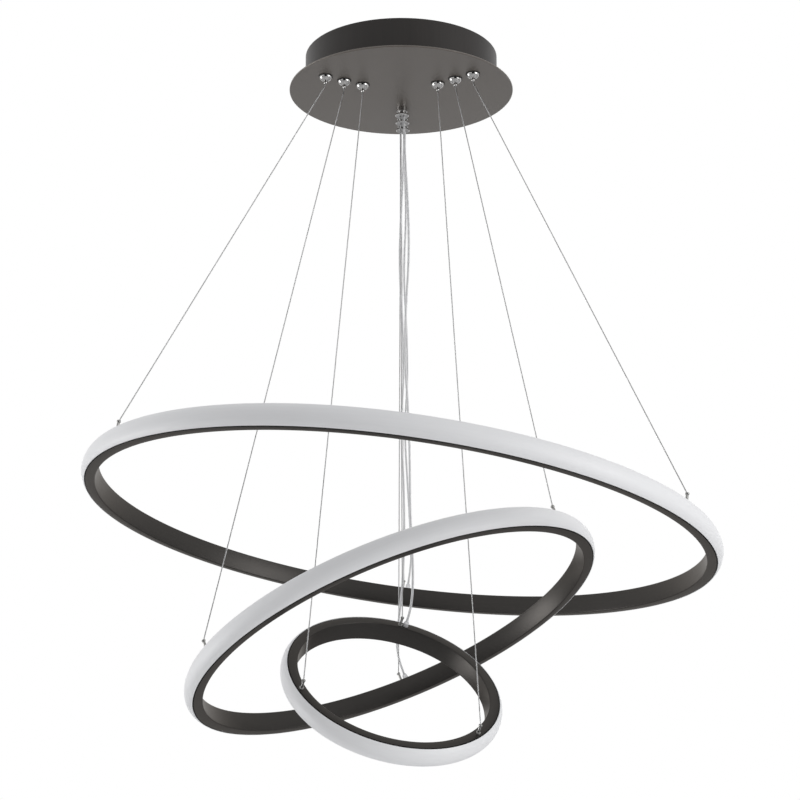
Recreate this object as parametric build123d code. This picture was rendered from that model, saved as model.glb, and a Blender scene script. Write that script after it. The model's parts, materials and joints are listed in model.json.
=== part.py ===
from build123d import *
import math
import os
from collections import namedtuple

# Ceiling chandelier: three tilted light rings, one below the other, each on three steel wires
# that leave push-to-release grips in a round ceiling canopy. A clear power cord runs from the
# driver in the canopy down beside each back wire. Millimetres, +Z up, origin at the middle of
# the canopy's ceiling face.

# ---------------------------------------------------------------- driving dimensions
CANOPY_HEIGHT = 37.2          # ceiling face down to the plate's underside
DRUM_DIAMETER = 196.0
DRUM_WALL = 1.2
DRUM_FLANGE_WIDTH = 13.0      # inward flange that the plate is screwed to
PLATE_DIAMETER = 228.0
PLATE_THICKNESS = 2.0
PLATE_EDGE_RADIUS = 0.7
PLATE_STUD_DIAMETER = 4.0
PLATE_STUD_LENGTH = 8.0
PLATE_STUD_ANGLES = (30.0, 150.0, 270.0)

BRACKET_WIDTH = 26.0
BRACKET_THICKNESS = 2.0
BRACKET_TAB_HEIGHT = 15.0
BRACKET_SLOT_SPACING = 100.0
BRACKET_SLOT_LENGTH = 24.0
BRACKET_SLOT_WIDTH = 5.0
BRACKET_CABLE_HOLE = 16.0
BRACKET_CLEARANCE = 0.2
SIDE_SCREW_DIAMETER = 4.0
SIDE_SCREW_DROP = 9.0         # ceiling face down to the screws that hold the drum

DRIVER_LENGTH = 112.0
DRIVER_WIDTH = 25.0
DRIVER_HEIGHT = 24.0
DRIVER_EAR_LENGTH = 9.0
DRIVER_EAR_THICKNESS = 2.0
DRIVER_VENT_DEPTH = 3.0
DRIVER_CENTRE_Y = -1.0
DRIVER_SCREW_DIAMETER = 3.0
TERMINAL_BLOCK_LENGTH = 32.0
TERMINAL_BLOCK_WIDTH = 16.0
TERMINAL_BLOCK_HEIGHT = 13.0
TERMINAL_BLOCK_CENTRE_Y = -52.0
TERMINAL_WAYS = 3
LEAD_DIAMETER = 2.2           # the two leads from the terminal block to the driver
LEAD_BOW = 1.6

GRIP_PITCH = 21.0             # from one ring's grips to the next along a spoke
GRIP_INSET = 11.0             # the large ring's front grips, in from the drum's outside
BACK_GRIP_INSET = 5.0         # and each back grip further in
GRIP_SPOKES = {"left": 210.0, "right": 325.0, "back": 88.7}
GRIP_BARREL_LENGTH = 10.0     # above the plate's underside
GRIP_ROOF = 6.0               # end of each grip's wide bore, above the plate's underside
GRIP_NUT_THICKNESS = 3.5
GRIP_NUT_RIM = 1.75           # nut's flats out from the barrel
NUT_NOTCH_GAP = 0.4           # drum's flange around the outermost grips' nuts
RELEASE_TRAVEL = 1.5          # how far a release sleeve pushes up
SLIDING_GAP = 0.15
HOLE_CLEARANCE = 0.1

DOME_DIAMETER = 13.0          # front grips: chrome domes with a slim nipple
DOME_HEIGHT = 5.0
DOME_BARREL_DIAMETER = 8.0
NIPPLE_DIAMETER = 3.6
NIPPLE_LENGTH = 3.0
NIPPLE_HEAD_DIAMETER = 5.0

COLLAR_DIAMETER = 14.4        # back grips: short stem with a flared collar, wire and cord inside
COLLAR_HEIGHT = 3.0
STEM_DIAMETER = 11.2
STEM_HEIGHT = 4.6
COLLAR_NECK_DIAMETER = 7.8
COLLAR_HEAD_DIAMETER = 9.0
WIRE_CORD_SPACING = 3.8

SECTION_HEIGHT = 20.0         # ring section, along the ring's own axis
BACK_WEB_OFFSET = 6.5         # path radius in to the channel's inner face
RIM_OFFSET = 3.5              # path radius out to the channel's rims
DIFFUSER_OFFSET = 8.0         # path radius out to the crown of the diffuser
CHANNEL_WALL = 1.4
DIFFUSER_WALL = 1.5
DIFFUSER_LEG = 2.0
SNAP_DEPTH = 0.5
STRIP_WIDTH = 10.0
STRIP_THICKNESS = 0.9
SPLICE_LENGTH = 42.0
SPLICE_SECTION = 2.4
SPLICE_SPOKE = 40.0           # where the channel's two ends meet
TERMINAL_OFFSET = -1.5        # path radius to the terminals' holes
TERMINAL_STEM_DIAMETER = 2.6
TERMINAL_STUB_DIAMETER = 2.6
TERMINAL_HEIGHT = 8.2         # ring's top face up to the centre of the wire's end ball
TERMINAL_COLLAR_DIAMETER = 5.0
TERMINAL_NUT_WIDTH = 4.4
TERMINAL_NUT_THICKNESS = 1.8
BALL_DIAMETER = 2.6
BALL_GAP = 0.04
SOCKET_WALL = 0.5
TERMINAL_SWING = 6.2          # degrees a terminal can tip past its resting angle to the wire
GLAND_DIAMETER = 5.4
GLAND_HEIGHT = 5.5
GLAND_RUN = 10.0              # power cord's straight run into its gland
BACK_PAIR_SPACING = 5.4       # back terminal to cord gland, along the ring

WIRE_DIAMETER = 1.2
WIRE_BEND = 5.0               # radius of the rounded mouth that each wire bends over
WIRE_HOLE_GAP = 0.35
WIRE_TAIL = 5.0               # wire's end above its grip's barrel
CORD_DIAMETER = 2.5
CORD_HOLE_GAP = 0.35
CORD_TURN = 12.5              # how far above the grips' barrels the cords run to the driver
CORD_LEAD = 17.8              # cord's straight run out of its grip, below the plate

LARGE_DIAMETER = 598.0        # rings, over the path that their section follows
MEDIUM_DIAMETER = 400.0
SMALL_DIAMETER = 200.0

# Each ring: path diameter, centre, lean of its axis from vertical and the heading it leans to,
# and the headings of its three wire terminals, measured in the ring's own plane.
Ring = namedtuple("Ring", "name diameter centre lean toward spokes")
RINGS = (
    Ring("large", LARGE_DIAMETER, (-1.6, -6.0, -483.6), 10.9, 44.0, {"left": 211.1, "right": 326.5, "back": 88.5}),
    Ring("medium", MEDIUM_DIAMETER, (-7.1, 1.6, -580.8), 26.2, 145.2, {"left": 211.4, "right": 328.4, "back": 88.8}),
    Ring("small", SMALL_DIAMETER, (-8.9, 3.1, -636.9), 38.9, -67.3, {"left": 212.1, "right": 328.6, "back": 89.7}),
)

# Routes of the power cords, by hand: inside the canopy from the driver's wall towards the back
# grip (x and y only), then below the grip, and last the few points above the ring's gland, which
# are measured from the gland's top.
CANOPY_ROUTES = {
    "large": [(-1.8, 33.0), (-2.6, 53.5)],
    "medium": [(7.4, 33.0)],
    "small": [],
}
CORD_ENTRIES = {"large": -1.8, "medium": 7.4, "small": 2.8}
CORD_ROUTES = {
    "large": [(4.1, 88.9, -93.1), (5.6, 105.8, -135.1), (2.5, 129.2, -187.2), (5.7, 154.2, -241.2),
              (7.4, 179.1, -295.3), (3.7, 205.1, -347.3), (6.8, 231.0, -397.4), (9.3, 254.3, -431.4)],
    "medium": [(2.3, 65.0, -93.0), (-0.1, 73.9, -141.0), (-2.0, 84.9, -195.1), (1.4, 99.9, -249.1),
               (3.2, 112.8, -303.1), (-0.5, 128.3, -357.2), (2.5, 141.8, -411.2), (3.6, 157.3, -465.2),
               (2.0, 174.2, -513.2), (-0.9, 187.5, -545.2)],
    "small": [(4.1, 41.0, -93.0), (7.2, 45.4, -142.9), (8.3, 46.9, -196.9), (4.6, 51.4, -250.8),
              (3.5, 52.9, -304.8), (7.3, 54.9, -358.7), (8.8, 53.9, -412.7), (8.9, 55.8, -462.7),
              (11.2, 56.7, -500.6)],
}
CORD_LANDINGS = {
    "large": [(2.4, -18.2, 55.3), (3.3, -6.1, 38.8), (3.2, -0.1, 25.8)],
    "medium": [(-6.9, -1.7, 48.6), (-7.9, 2.5, 32.6), (-6.7, 3.9, 20.6)],
    "small": [(6.0, -14.9, 45.0), (5.7, -12.1, 29.0), (4.3, -8.7, 16.5)],
}

# ---------------------------------------------------------------- worked-out places
PLATE_TOP = -CANOPY_HEIGHT + PLATE_THICKNESS
HALF_SECTION = SECTION_HEIGHT / 2
GRIP_RADIUS = {
    "large": DRUM_DIAMETER / 2 - GRIP_INSET,
    "medium": DRUM_DIAMETER / 2 - GRIP_INSET - GRIP_PITCH,
    "small": DRUM_DIAMETER / 2 - GRIP_INSET - 2 * GRIP_PITCH,
}
DRIVER_BACK = DRIVER_CENTRE_Y + DRIVER_WIDTH / 2
DRIVER_FRONT = DRIVER_CENTRE_Y - DRIVER_WIDTH / 2
TERMINAL_PITCH = TERMINAL_BLOCK_LENGTH / TERMINAL_WAYS
LEAD_HEIGHT = PLATE_TOP + 0.35 * TERMINAL_BLOCK_HEIGHT
SIDES = ("left", "right", "back")


def polar(radius, heading, z=0.0):
    """A point at this radius and heading (degrees) about the Z axis."""
    angle = math.radians(heading)
    return Vector(radius * math.cos(angle), radius * math.sin(angle), z)


def turned(*edges):
    """Revolve a closed (radius, height) outline about the Z axis."""
    return revolve(Plane.XZ * make_face(edges), Axis.Z)


def turned_points(points):
    return turned(Polyline(*points, close=True))


def disc(radius, bottom, top):
    """An upright cylinder between two heights."""
    return Pos(0, 0, bottom) * Cylinder(radius, top - bottom, align=(Align.CENTER, Align.CENTER, Align.MIN))


def block(length, width, bottom, top):
    """An upright box between two heights, centred on the Z axis."""
    return Pos(0, 0, bottom) * Box(length, width, top - bottom, align=(Align.CENTER, Align.CENTER, Align.MIN))


def hexagon(width, bottom, top, bore):
    """A hexagon nut, chamfered at its top, with a plain bore."""
    nut = Pos(0, 0, bottom) * extrude(RegularPolygon(width / 2, 6, major_radius=False), top - bottom)
    crown = turned_points([(0, bottom), (width, bottom), (width, top - width * 0.29), (width * 0.46, top), (0, top)])
    return (nut & crown) - disc(bore, bottom, top)


# ---------------------------------------------------------------- the rings' own frames
def ring_plane(ring):
    """Plane of the ring's middle, its x axis turned from +X by the lean alone."""
    lean, toward = math.radians(ring.lean), math.radians(ring.toward)
    normal = Vector(math.sin(lean) * math.cos(toward), math.sin(lean) * math.sin(toward), math.cos(lean))
    x_dir = Vector(1 - normal.X ** 2 / (1 + normal.Z), -normal.X * normal.Y / (1 + normal.Z), -normal.X)
    return Plane(origin=ring.centre, x_dir=x_dir, z_dir=normal)


def seat_local(ring, side):
    """Where a terminal stands on the ring's top face, in the ring's frame."""
    point = polar(ring.diameter / 2 + TERMINAL_OFFSET, ring.spokes[side], HALF_SECTION)
    if side == "back":
        point = point - along(ring, "back") * (BACK_PAIR_SPACING / 2)
    return point


def gland_local(ring):
    """Where the cord gland stands on the ring's top face, beside the back terminal."""
    point = polar(ring.diameter / 2 + TERMINAL_OFFSET, ring.spokes["back"], HALF_SECTION)
    return point + along(ring, "back") * (BACK_PAIR_SPACING / 2)


def along(ring, side):
    """Unit vector along the ring at a spoke, clockwise seen from above."""
    return polar(1.0, ring.spokes[side] - 90.0)


def to_world(ring, point):
    return ring_plane(ring).from_local_coords(point)


def ball_centre(ring, side):
    return to_world(ring, seat_local(ring, side) + Vector(0, 0, TERMINAL_HEIGHT))


# ---------------------------------------------------------------- canopy
def grip_place(ring_name, side):
    radius = GRIP_RADIUS[ring_name] - (BACK_GRIP_INSET if side == "back" else 0.0)
    return polar(radius, GRIP_SPOKES[side], -CANOPY_HEIGHT)


def barrel_diameter(side):
    return STEM_DIAMETER if side == "back" else DOME_BARREL_DIAMETER


def nut_width(barrel):
    """Across flats of the nut that holds a grip's barrel."""
    return barrel + 2 * GRIP_NUT_RIM


def front_grip_places():
    return [grip_place(name, side) for name in GRIP_RADIUS for side in ("left", "right")]


def back_grip_places():
    return [grip_place(name, "back") for name in GRIP_RADIUS]


def canopy_drum():
    """Spun steel drum, open at the ceiling, with an inward flange that sits on the plate."""
    outer, inner = DRUM_DIAMETER / 2, DRUM_DIAMETER / 2 - DRUM_WALL
    lip = inner - DRUM_FLANGE_WIDTH
    bend = 2 * DRUM_WALL
    outline = FilletPolyline((outer, 0), (outer, PLATE_TOP), (lip, PLATE_TOP), (lip, PLATE_TOP + DRUM_WALL),
                             (inner, PLATE_TOP + DRUM_WALL), (inner, 0),
                             radius=(bend, DRUM_WALL / 3, DRUM_WALL / 3, bend - DRUM_WALL))
    drum = turned(outline, Line((inner, 0), (outer, 0)))
    for heading in PLATE_STUD_ANGLES:
        hole = disc(PLATE_STUD_DIAMETER / 2 + HOLE_CLEARANCE, PLATE_TOP - 1, PLATE_TOP + DRUM_WALL + 1)
        drum -= Pos(polar(lip + DRUM_FLANGE_WIDTH / 2, heading)) * hole
    for side in SIDES:
        place = grip_place("large", side)
        notch = disc(nut_width(barrel_diameter(side)) / math.sqrt(3) + NUT_NOTCH_GAP, PLATE_TOP - 1, PLATE_TOP + DRUM_WALL + 0.01)
        drum -= Pos(place.X, place.Y) * notch
    for side in (-1, 1):
        drum -= side_screw_place(side) * Cylinder(SIDE_SCREW_DIAMETER / 2 + HOLE_CLEARANCE, 4 * DRUM_WALL)
    return drum


def side_screw_place(side):
    """Frame at the drum's wall, its Z axis along the screw."""
    return Pos(side * (DRUM_DIAMETER / 2 - DRUM_WALL / 2), 0, -SIDE_SCREW_DROP) * Rot(0, 90, 0)


def stud_radius():
    return DRUM_DIAMETER / 2 - DRUM_WALL - DRUM_FLANGE_WIDTH / 2


def canopy_plate():
    """Flat steel cover plate with a rounded edge, studs on its upper face and the grips' holes."""
    rim, floor = PLATE_DIAMETER / 2, -CANOPY_HEIGHT
    outline = FilletPolyline((0, floor), (rim, floor), (rim, PLATE_TOP), (0, PLATE_TOP),
                             radius=(PLATE_EDGE_RADIUS, PLATE_EDGE_RADIUS))
    plate = turned(outline, Line((0, PLATE_TOP), (0, floor)))
    for heading in PLATE_STUD_ANGLES:
        stud = disc(PLATE_STUD_DIAMETER / 2, PLATE_TOP - PLATE_THICKNESS / 4, PLATE_TOP + PLATE_STUD_LENGTH)
        plate += Pos(polar(stud_radius(), heading)) * stud
    through = (floor - 1, PLATE_TOP + 1)
    for place in front_grip_places():
        plate -= Pos(place.X, place.Y) * disc(DOME_BARREL_DIAMETER / 2 + HOLE_CLEARANCE, *through)
    for place in back_grip_places():
        plate -= Pos(place.X, place.Y) * disc(STEM_DIAMETER / 2 + HOLE_CLEARANCE, *through)
    for side in (-1, 1):
        plate -= Pos(driver_screw_place(side)) * disc(DRIVER_SCREW_DIAMETER / 2 + 0.02, -PLATE_THICKNESS * 0.7, 1)
    return plate


def plate_nuts():
    width = 1.75 * PLATE_STUD_DIAMETER
    base = PLATE_TOP + DRUM_WALL
    nuts = [Pos(polar(stud_radius(), heading)) * hexagon(width, base, base + 0.8 * PLATE_STUD_DIAMETER,
                                                         PLATE_STUD_DIAMETER / 2 + 0.02)
            for heading in PLATE_STUD_ANGLES]
    return Compound(children=nuts)


def bracket_half_length():
    """Middle out to the tab's outer face, clear of the drum's curved wall."""
    inner = DRUM_DIAMETER / 2 - DRUM_WALL
    return math.sqrt(inner ** 2 - (BRACKET_WIDTH / 2) ** 2) - BRACKET_CLEARANCE


def mounting_bracket():
    """Steel strap against the ceiling, its two ends bent down behind the drum's wall."""
    half, t = bracket_half_length(), BRACKET_THICKNESS
    outline = FilletPolyline((-half, -BRACKET_TAB_HEIGHT), (-half, 0), (half, 0), (half, -BRACKET_TAB_HEIGHT),
                             radius=(1.5 * t, 1.5 * t))
    inside = FilletPolyline((half - t, -BRACKET_TAB_HEIGHT), (half - t, -t), (-half + t, -t),
                            (-half + t, -BRACKET_TAB_HEIGHT), radius=(0.5 * t, 0.5 * t))
    ends = (Line((half, -BRACKET_TAB_HEIGHT), (half - t, -BRACKET_TAB_HEIGHT)),
            Line((-half + t, -BRACKET_TAB_HEIGHT), (-half, -BRACKET_TAB_HEIGHT)))
    strap = extrude(Plane.XZ * make_face([outline, ends[0], inside, ends[1]]), BRACKET_WIDTH / 2, both=True)
    for x in (-BRACKET_SLOT_SPACING / 2, BRACKET_SLOT_SPACING / 2):
        strap -= Pos(x, 0, -t - 1) * extrude(SlotOverall(BRACKET_SLOT_LENGTH, BRACKET_SLOT_WIDTH), t + 2)
    strap -= disc(BRACKET_CABLE_HOLE / 2, -t - 1, 1)
    for side in (-1, 1):
        strap -= Pos(side * half, 0, -SIDE_SCREW_DROP) * Rot(0, 90, 0) * Cylinder(SIDE_SCREW_DIAMETER / 2, 3 * t)
    return strap


def side_screws():
    """Grub screws, flush with the drum and threaded into the bracket's tabs."""
    start, end = bracket_half_length() - BRACKET_THICKNESS - 1.0, DRUM_DIAMETER / 2
    length = end - start
    screws = []
    for side in (-1, 1):
        screw = Pos(side * (start + end) / 2, 0, -SIDE_SCREW_DROP) * Rot(0, 90 * side, 0) \
            * Cylinder(SIDE_SCREW_DIAMETER / 2, length)
        socket = Pos(side * (end - 0.9), 0, -SIDE_SCREW_DROP) * Rot(0, 90 * side, 0) \
            * extrude(RegularPolygon(1.0, 6, major_radius=False), 2)
        screws.append(screw - socket)
    return Compound(children=screws)


def driver_screw_place(side):
    return Vector(side * (DRIVER_LENGTH / 2 + DRIVER_EAR_LENGTH / 2), DRIVER_CENTRE_Y, PLATE_TOP)


def led_driver():
    """Power supply in a moulded case, with a screwed ear and a sunk vent panel at each end."""
    base = PLATE_TOP
    case = block(DRIVER_LENGTH, DRIVER_WIDTH, base, base + DRIVER_HEIGHT)
    case = fillet(case.edges().filter_by(Axis.Z), 3.0)
    case = fillet(case.faces().sort_by(Axis.Z)[-1].edges(), 1.2)
    case += block(DRIVER_LENGTH + 2 * DRIVER_EAR_LENGTH, DRIVER_WIDTH / 2, base, base + DRIVER_EAR_THICKNESS)
    for side in (-1, 1):
        panel = Pos(side * DRIVER_LENGTH / 2, 0, base + DRIVER_HEIGHT * 0.55)
        case -= panel * Box(2 * DRIVER_VENT_DEPTH, DRIVER_WIDTH * 0.6, DRIVER_HEIGHT * 0.4)
    case = Pos(0, DRIVER_CENTRE_Y) * case
    for side in (-1, 1):
        hole = disc(DRIVER_SCREW_DIAMETER / 2 + HOLE_CLEARANCE, -1, DRIVER_EAR_THICKNESS + 1)
        case -= Pos(driver_screw_place(side)) * hole
    return case


def driver_screws():
    """Pan-head screws through the driver's ears into the plate."""
    head = DRIVER_SCREW_DIAMETER
    screws = []
    for side in (-1, 1):
        shank = disc(DRIVER_SCREW_DIAMETER / 2, -PLATE_THICKNESS * 0.6, DRIVER_EAR_THICKNESS)
        top = DRIVER_EAR_THICKNESS + 1.8
        cap = turned(Line((0, DRIVER_EAR_THICKNESS), (head, DRIVER_EAR_THICKNESS)),
                     ThreePointArc((head, DRIVER_EAR_THICKNESS), (head * 0.75, top - 0.4), (0, top)),
                     Line((0, top), (0, DRIVER_EAR_THICKNESS)))
        slot = Pos(0, 0, top) * Box(2 * head, 0.7, 1.4)
        screws.append(Pos(driver_screw_place(side)) * (shank + cap - slot))
    return Compound(children=screws)


def terminal_block():
    """Mains connector on the plate: one screw well and one wire hole for each way."""
    base = PLATE_TOP
    body = block(TERMINAL_BLOCK_LENGTH, TERMINAL_BLOCK_WIDTH, base, base + TERMINAL_BLOCK_HEIGHT)
    body = fillet(body.edges().filter_by(Axis.Z), 1.5)
    hole = LEAD_DIAMETER / 2 + CORD_HOLE_GAP
    for way in range(TERMINAL_WAYS):
        x = (way - (TERMINAL_WAYS - 1) / 2) * TERMINAL_PITCH
        body -= Pos(x, 0) * disc(TERMINAL_PITCH / 5, base + TERMINAL_BLOCK_HEIGHT * 0.5, base + TERMINAL_BLOCK_HEIGHT + 1)
        body -= Pos(x, 0, LEAD_HEIGHT) * Rot(90, 0, 0) * Cylinder(hole, 2 * TERMINAL_BLOCK_WIDTH)
    groove = (TERMINAL_PITCH * 0.15, 2 * TERMINAL_BLOCK_WIDTH, TERMINAL_BLOCK_HEIGHT * 0.3)
    for way in range(TERMINAL_WAYS - 1):
        x = (way - (TERMINAL_WAYS - 2) / 2) * TERMINAL_PITCH
        body -= Pos(x, 0, base + TERMINAL_BLOCK_HEIGHT) * Box(*groove)
    return Pos(0, TERMINAL_BLOCK_CENTRE_Y) * body


# ---------------------------------------------------------------- grips and release sleeves
def front_grip():
    """Chrome dome below the plate, threaded barrel above it, stepped bore for the release sleeve."""
    flange, barrel = DOME_DIAMETER / 2, DOME_BARREL_DIAMETER / 2
    hole = WIRE_DIAMETER / 2 + WIRE_HOLE_GAP
    mouth = NIPPLE_DIAMETER / 2 + SLIDING_GAP
    bore = NIPPLE_HEAD_DIAMETER / 2 + SLIDING_GAP
    nose = mouth + 0.9
    shoulder = -DOME_HEIGHT * 0.72
    upper = Polyline((flange, -1.0), (flange, 0), (barrel, 0), (barrel, GRIP_BARREL_LENGTH),
                     (hole, GRIP_BARREL_LENGTH), (hole, GRIP_ROOF), (bore, GRIP_ROOF), (bore, shoulder),
                     (mouth, shoulder), (mouth, -DOME_HEIGHT), (nose, -DOME_HEIGHT))
    dome = ThreePointArc((nose, -DOME_HEIGHT), (flange * 0.82, -DOME_HEIGHT * 0.66), (flange, -1.0))
    return turned(upper, dome)


def front_sleeve():
    """Release sleeve: the nipple and its head, on the bore's shoulder, with the wire's hole."""
    shank, head = NIPPLE_DIAMETER / 2, NIPPLE_HEAD_DIAMETER / 2
    hole = WIRE_DIAMETER / 2 + WIRE_HOLE_GAP
    tip = -DOME_HEIGHT - NIPPLE_LENGTH
    shoulder = -DOME_HEIGHT * 0.72
    top = GRIP_ROOF - RELEASE_TRAVEL - SLIDING_GAP
    return turned_points([(hole, tip), (shank - 0.5, tip), (shank - 0.15, tip + 0.5), (shank, tip + 1.2),
                          (shank, shoulder), (head, shoulder), (head, top), (hole, top)])


def back_grip():
    """Short chrome stem with the wire's and the cord's way up through its bore and roof."""
    stem = STEM_DIAMETER / 2
    mouth = COLLAR_NECK_DIAMETER / 2 + SLIDING_GAP
    bore = COLLAR_HEAD_DIAMETER / 2 + SLIDING_GAP
    shoulder = -STEM_HEIGHT * 0.6
    chamfer_size = 0.5
    grip = turned_points([(stem, -STEM_HEIGHT + chamfer_size), (stem, GRIP_BARREL_LENGTH), (0, GRIP_BARREL_LENGTH),
                          (0, GRIP_ROOF), (bore, GRIP_ROOF), (bore, shoulder), (mouth, shoulder),
                          (mouth, -STEM_HEIGHT), (stem - chamfer_size, -STEM_HEIGHT)])
    return pair_of_holes(grip, GRIP_ROOF - 1, GRIP_BARREL_LENGTH + 1)


def pair_of_holes(piece, bottom, top):
    """Drill the back wire's and the power cord's holes through a piece between two heights."""
    piece -= Pos(-WIRE_CORD_SPACING / 2, 0) * disc(WIRE_DIAMETER / 2 + WIRE_HOLE_GAP, bottom, top)
    return piece - Pos(WIRE_CORD_SPACING / 2, 0) * disc(CORD_DIAMETER / 2 + CORD_HOLE_GAP, bottom, top)


def back_sleeve():
    """Release collar: flared disc, neck and head in one piece, with holes for wire and cord."""
    neck, head, rim = COLLAR_NECK_DIAMETER / 2, COLLAR_HEAD_DIAMETER / 2, COLLAR_DIAMETER / 2
    upper = -STEM_HEIGHT - RELEASE_TRAVEL - SLIDING_GAP
    lower = upper - COLLAR_HEIGHT
    shoulder = -STEM_HEIGHT * 0.6
    top = GRIP_ROOF - RELEASE_TRAVEL - SLIDING_GAP
    flare = ThreePointArc((rim, lower + 0.9), (rim - 0.55, upper - 1.1), (STEM_DIAMETER / 2 - 0.2, upper))
    rest = Polyline((STEM_DIAMETER / 2 - 0.2, upper), (neck, upper), (neck, shoulder), (head, shoulder),
                    (head, top), (0, top), (0, lower), (rim - 0.8, lower), (rim, lower + 0.9))
    return pair_of_holes(turned(flare, rest), lower - 1, top + 1)


def grip_nuts():
    nuts = []
    for name in GRIP_RADIUS:
        for side in SIDES:
            barrel = barrel_diameter(side)
            nut = hexagon(nut_width(barrel), PLATE_THICKNESS, PLATE_THICKNESS + GRIP_NUT_THICKNESS, barrel / 2 + 0.02)
            nuts.append(Pos(grip_place(name, side)) * nut)
    return Compound(children=nuts)


def release_sleeve(ring_name, side):
    sleeve = back_sleeve() if side == "back" else front_sleeve()
    return Pos(grip_place(ring_name, side)) * sleeve


# ---------------------------------------------------------------- rings
def ring_channel(ring):
    """Rolled aluminium channel, open outwards, with snap grooves, strip ribs and drilled top flange."""
    path = ring.diameter / 2
    back, rim, half, wall = path - BACK_WEB_OFFSET, path + RIM_OFFSET, HALF_SECTION, CHANNEL_WALL
    web = back + wall
    groove_out, groove_in = rim - DIFFUSER_LEG + 1.1, rim - DIFFUSER_LEG - 0.1
    rib_low, rib_high, rib = STRIP_WIDTH / 2 + 0.1, STRIP_WIDTH / 2 + 0.8, STRIP_THICKNESS + 0.3
    half_mouth = [(rim, half), (rim, half - wall), (groove_out, half - wall), (groove_out, half - wall + SNAP_DEPTH),
                  (groove_in, half - wall + SNAP_DEPTH), (groove_in, half - wall), (web, half - wall),
                  (web, rib_high), (web + rib, rib_high), (web + rib, rib_low), (web, rib_low)]
    mouth = half_mouth + [(r, -z) for r, z in reversed(half_mouth)]
    corner = 1.0
    outer = [Polyline(*mouth), Line((rim, -half), (back + corner, -half)),
             CenterArc((back + corner, -half + corner), corner, 180, 90),
             Line((back, -half + corner), (back, half - corner)),
             CenterArc((back + corner, half - corner), corner, 90, 90), Line((back + corner, half), (rim, half))]
    channel = turned(*outer)
    stub = disc(TERMINAL_STUB_DIAMETER / 2 + HOLE_CLEARANCE, -2 * wall, 1)
    for side in SIDES:
        channel -= Pos(seat_local(ring, side)) * stub
    channel -= Pos(gland_local(ring)) * disc(TERMINAL_STUB_DIAMETER / 2 + HOLE_CLEARANCE, -2 * wall, 1)
    return channel


def ring_diffuser(ring):
    """Extruded satin cover, domed outwards, with two barbed legs in the channel's grooves."""
    path = ring.diameter / 2
    rim, crown = path + RIM_OFFSET, path + DIFFUSER_OFFSET
    edge = HALF_SECTION - 0.1
    leg = HALF_SECTION - CHANNEL_WALL - 0.1
    leg_in = leg - DIFFUSER_WALL * 0.7
    heel = rim + 0.15
    tip = rim - DIFFUSER_LEG
    barb = SNAP_DEPTH - 0.1
    upper = [(heel, edge), (heel, leg), (tip + 1.0, leg), (tip + 0.6, leg + barb), (tip, leg), (tip, leg_in),
             (heel + 0.2, leg_in)]
    outer = ThreePointArc((heel, -edge), (crown, 0), (heel, edge))
    inner = ThreePointArc((heel + 0.2, leg_in), (crown - DIFFUSER_WALL, 0), (heel + 0.2, -leg_in))
    lower = [(r, -z) for r, z in reversed(upper)]
    return turned(outer, Polyline(*upper), inner, Polyline(*lower))


def led_strip(ring):
    """Flexible circuit band on the channel's web, between its two ribs."""
    web = ring.diameter / 2 - BACK_WEB_OFFSET + CHANNEL_WALL
    half = STRIP_WIDTH / 2
    return turned_points([(web, -half), (web + STRIP_THICKNESS, -half), (web + STRIP_THICKNESS, half), (web, half)])


def splice_bar(ring):
    """Short curved bar in the corner of the channel, across the joint of its two ends."""
    web = ring.diameter / 2 - BACK_WEB_OFFSET + CHANNEL_WALL
    top = HALF_SECTION - CHANNEL_WALL
    sweep_angle = math.degrees(SPLICE_LENGTH / web)
    face = make_face(Polyline((web, top - SPLICE_SECTION), (web + SPLICE_SECTION, top - SPLICE_SECTION),
                              (web + SPLICE_SECTION, top), (web, top), close=True))
    bar = revolve(Plane.XZ * face, Axis.Z, revolution_arc=sweep_angle)
    return Rot(0, 0, SPLICE_SPOKE - sweep_angle / 2) * bar


def wire_lean(ring, side):
    """Angle between a terminal and the wire that leaves it, in degrees."""
    grip = grip_place(ring.name, side)
    return ring_plane(ring).z_dir.get_angle(grip - ball_centre(ring, side))


def wire_terminal(mouth_angle):
    """Slim stud with a collar and a socket for the wire's end ball, nut below the flange."""
    stem, stub = TERMINAL_STEM_DIAMETER / 2, TERMINAL_STUB_DIAMETER / 2
    cavity = BALL_DIAMETER / 2 + BALL_GAP
    head = cavity + SOCKET_WALL
    inside = -CHANNEL_WALL - TERMINAL_NUT_THICKNESS
    angle = math.radians(90.0 - mouth_angle)
    lip_in = (cavity * math.cos(angle), TERMINAL_HEIGHT + cavity * math.sin(angle))
    lip_out = (head * math.cos(angle), TERMINAL_HEIGHT + head * math.sin(angle))
    joint = math.sqrt(head ** 2 - stem ** 2)
    body = [Polyline((0, inside), (stub, inside), (stub, 0), (TERMINAL_COLLAR_DIAMETER / 2, 0),
                     (TERMINAL_COLLAR_DIAMETER / 2 - 0.3, 0.8), (stem, 1.1), (stem, TERMINAL_HEIGHT - joint)),
            ThreePointArc((stem, TERMINAL_HEIGHT - joint), (head, TERMINAL_HEIGHT), lip_out),
            Line(lip_out, lip_in),
            ThreePointArc(lip_in, (cavity, TERMINAL_HEIGHT), (0, TERMINAL_HEIGHT - cavity)),
            Line((0, TERMINAL_HEIGHT - cavity), (0, inside))]
    nut = hexagon(TERMINAL_NUT_WIDTH, inside, -CHANNEL_WALL, stub - 0.05)
    return turned(*body) + nut


def wire_terminals(ring):
    """The ring's three terminals; their mouths open far enough for each wire's lean and the swing."""
    studs = []
    for side in SIDES:
        half_width = math.degrees(math.asin(WIRE_DIAMETER / BALL_DIAMETER))
        mouth_angle = wire_lean(ring, side) + half_width + TERMINAL_SWING
        studs.append(Pos(seat_local(ring, side)) * wire_terminal(mouth_angle))
    return ring_plane(ring).location * Compound(children=studs)


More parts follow.
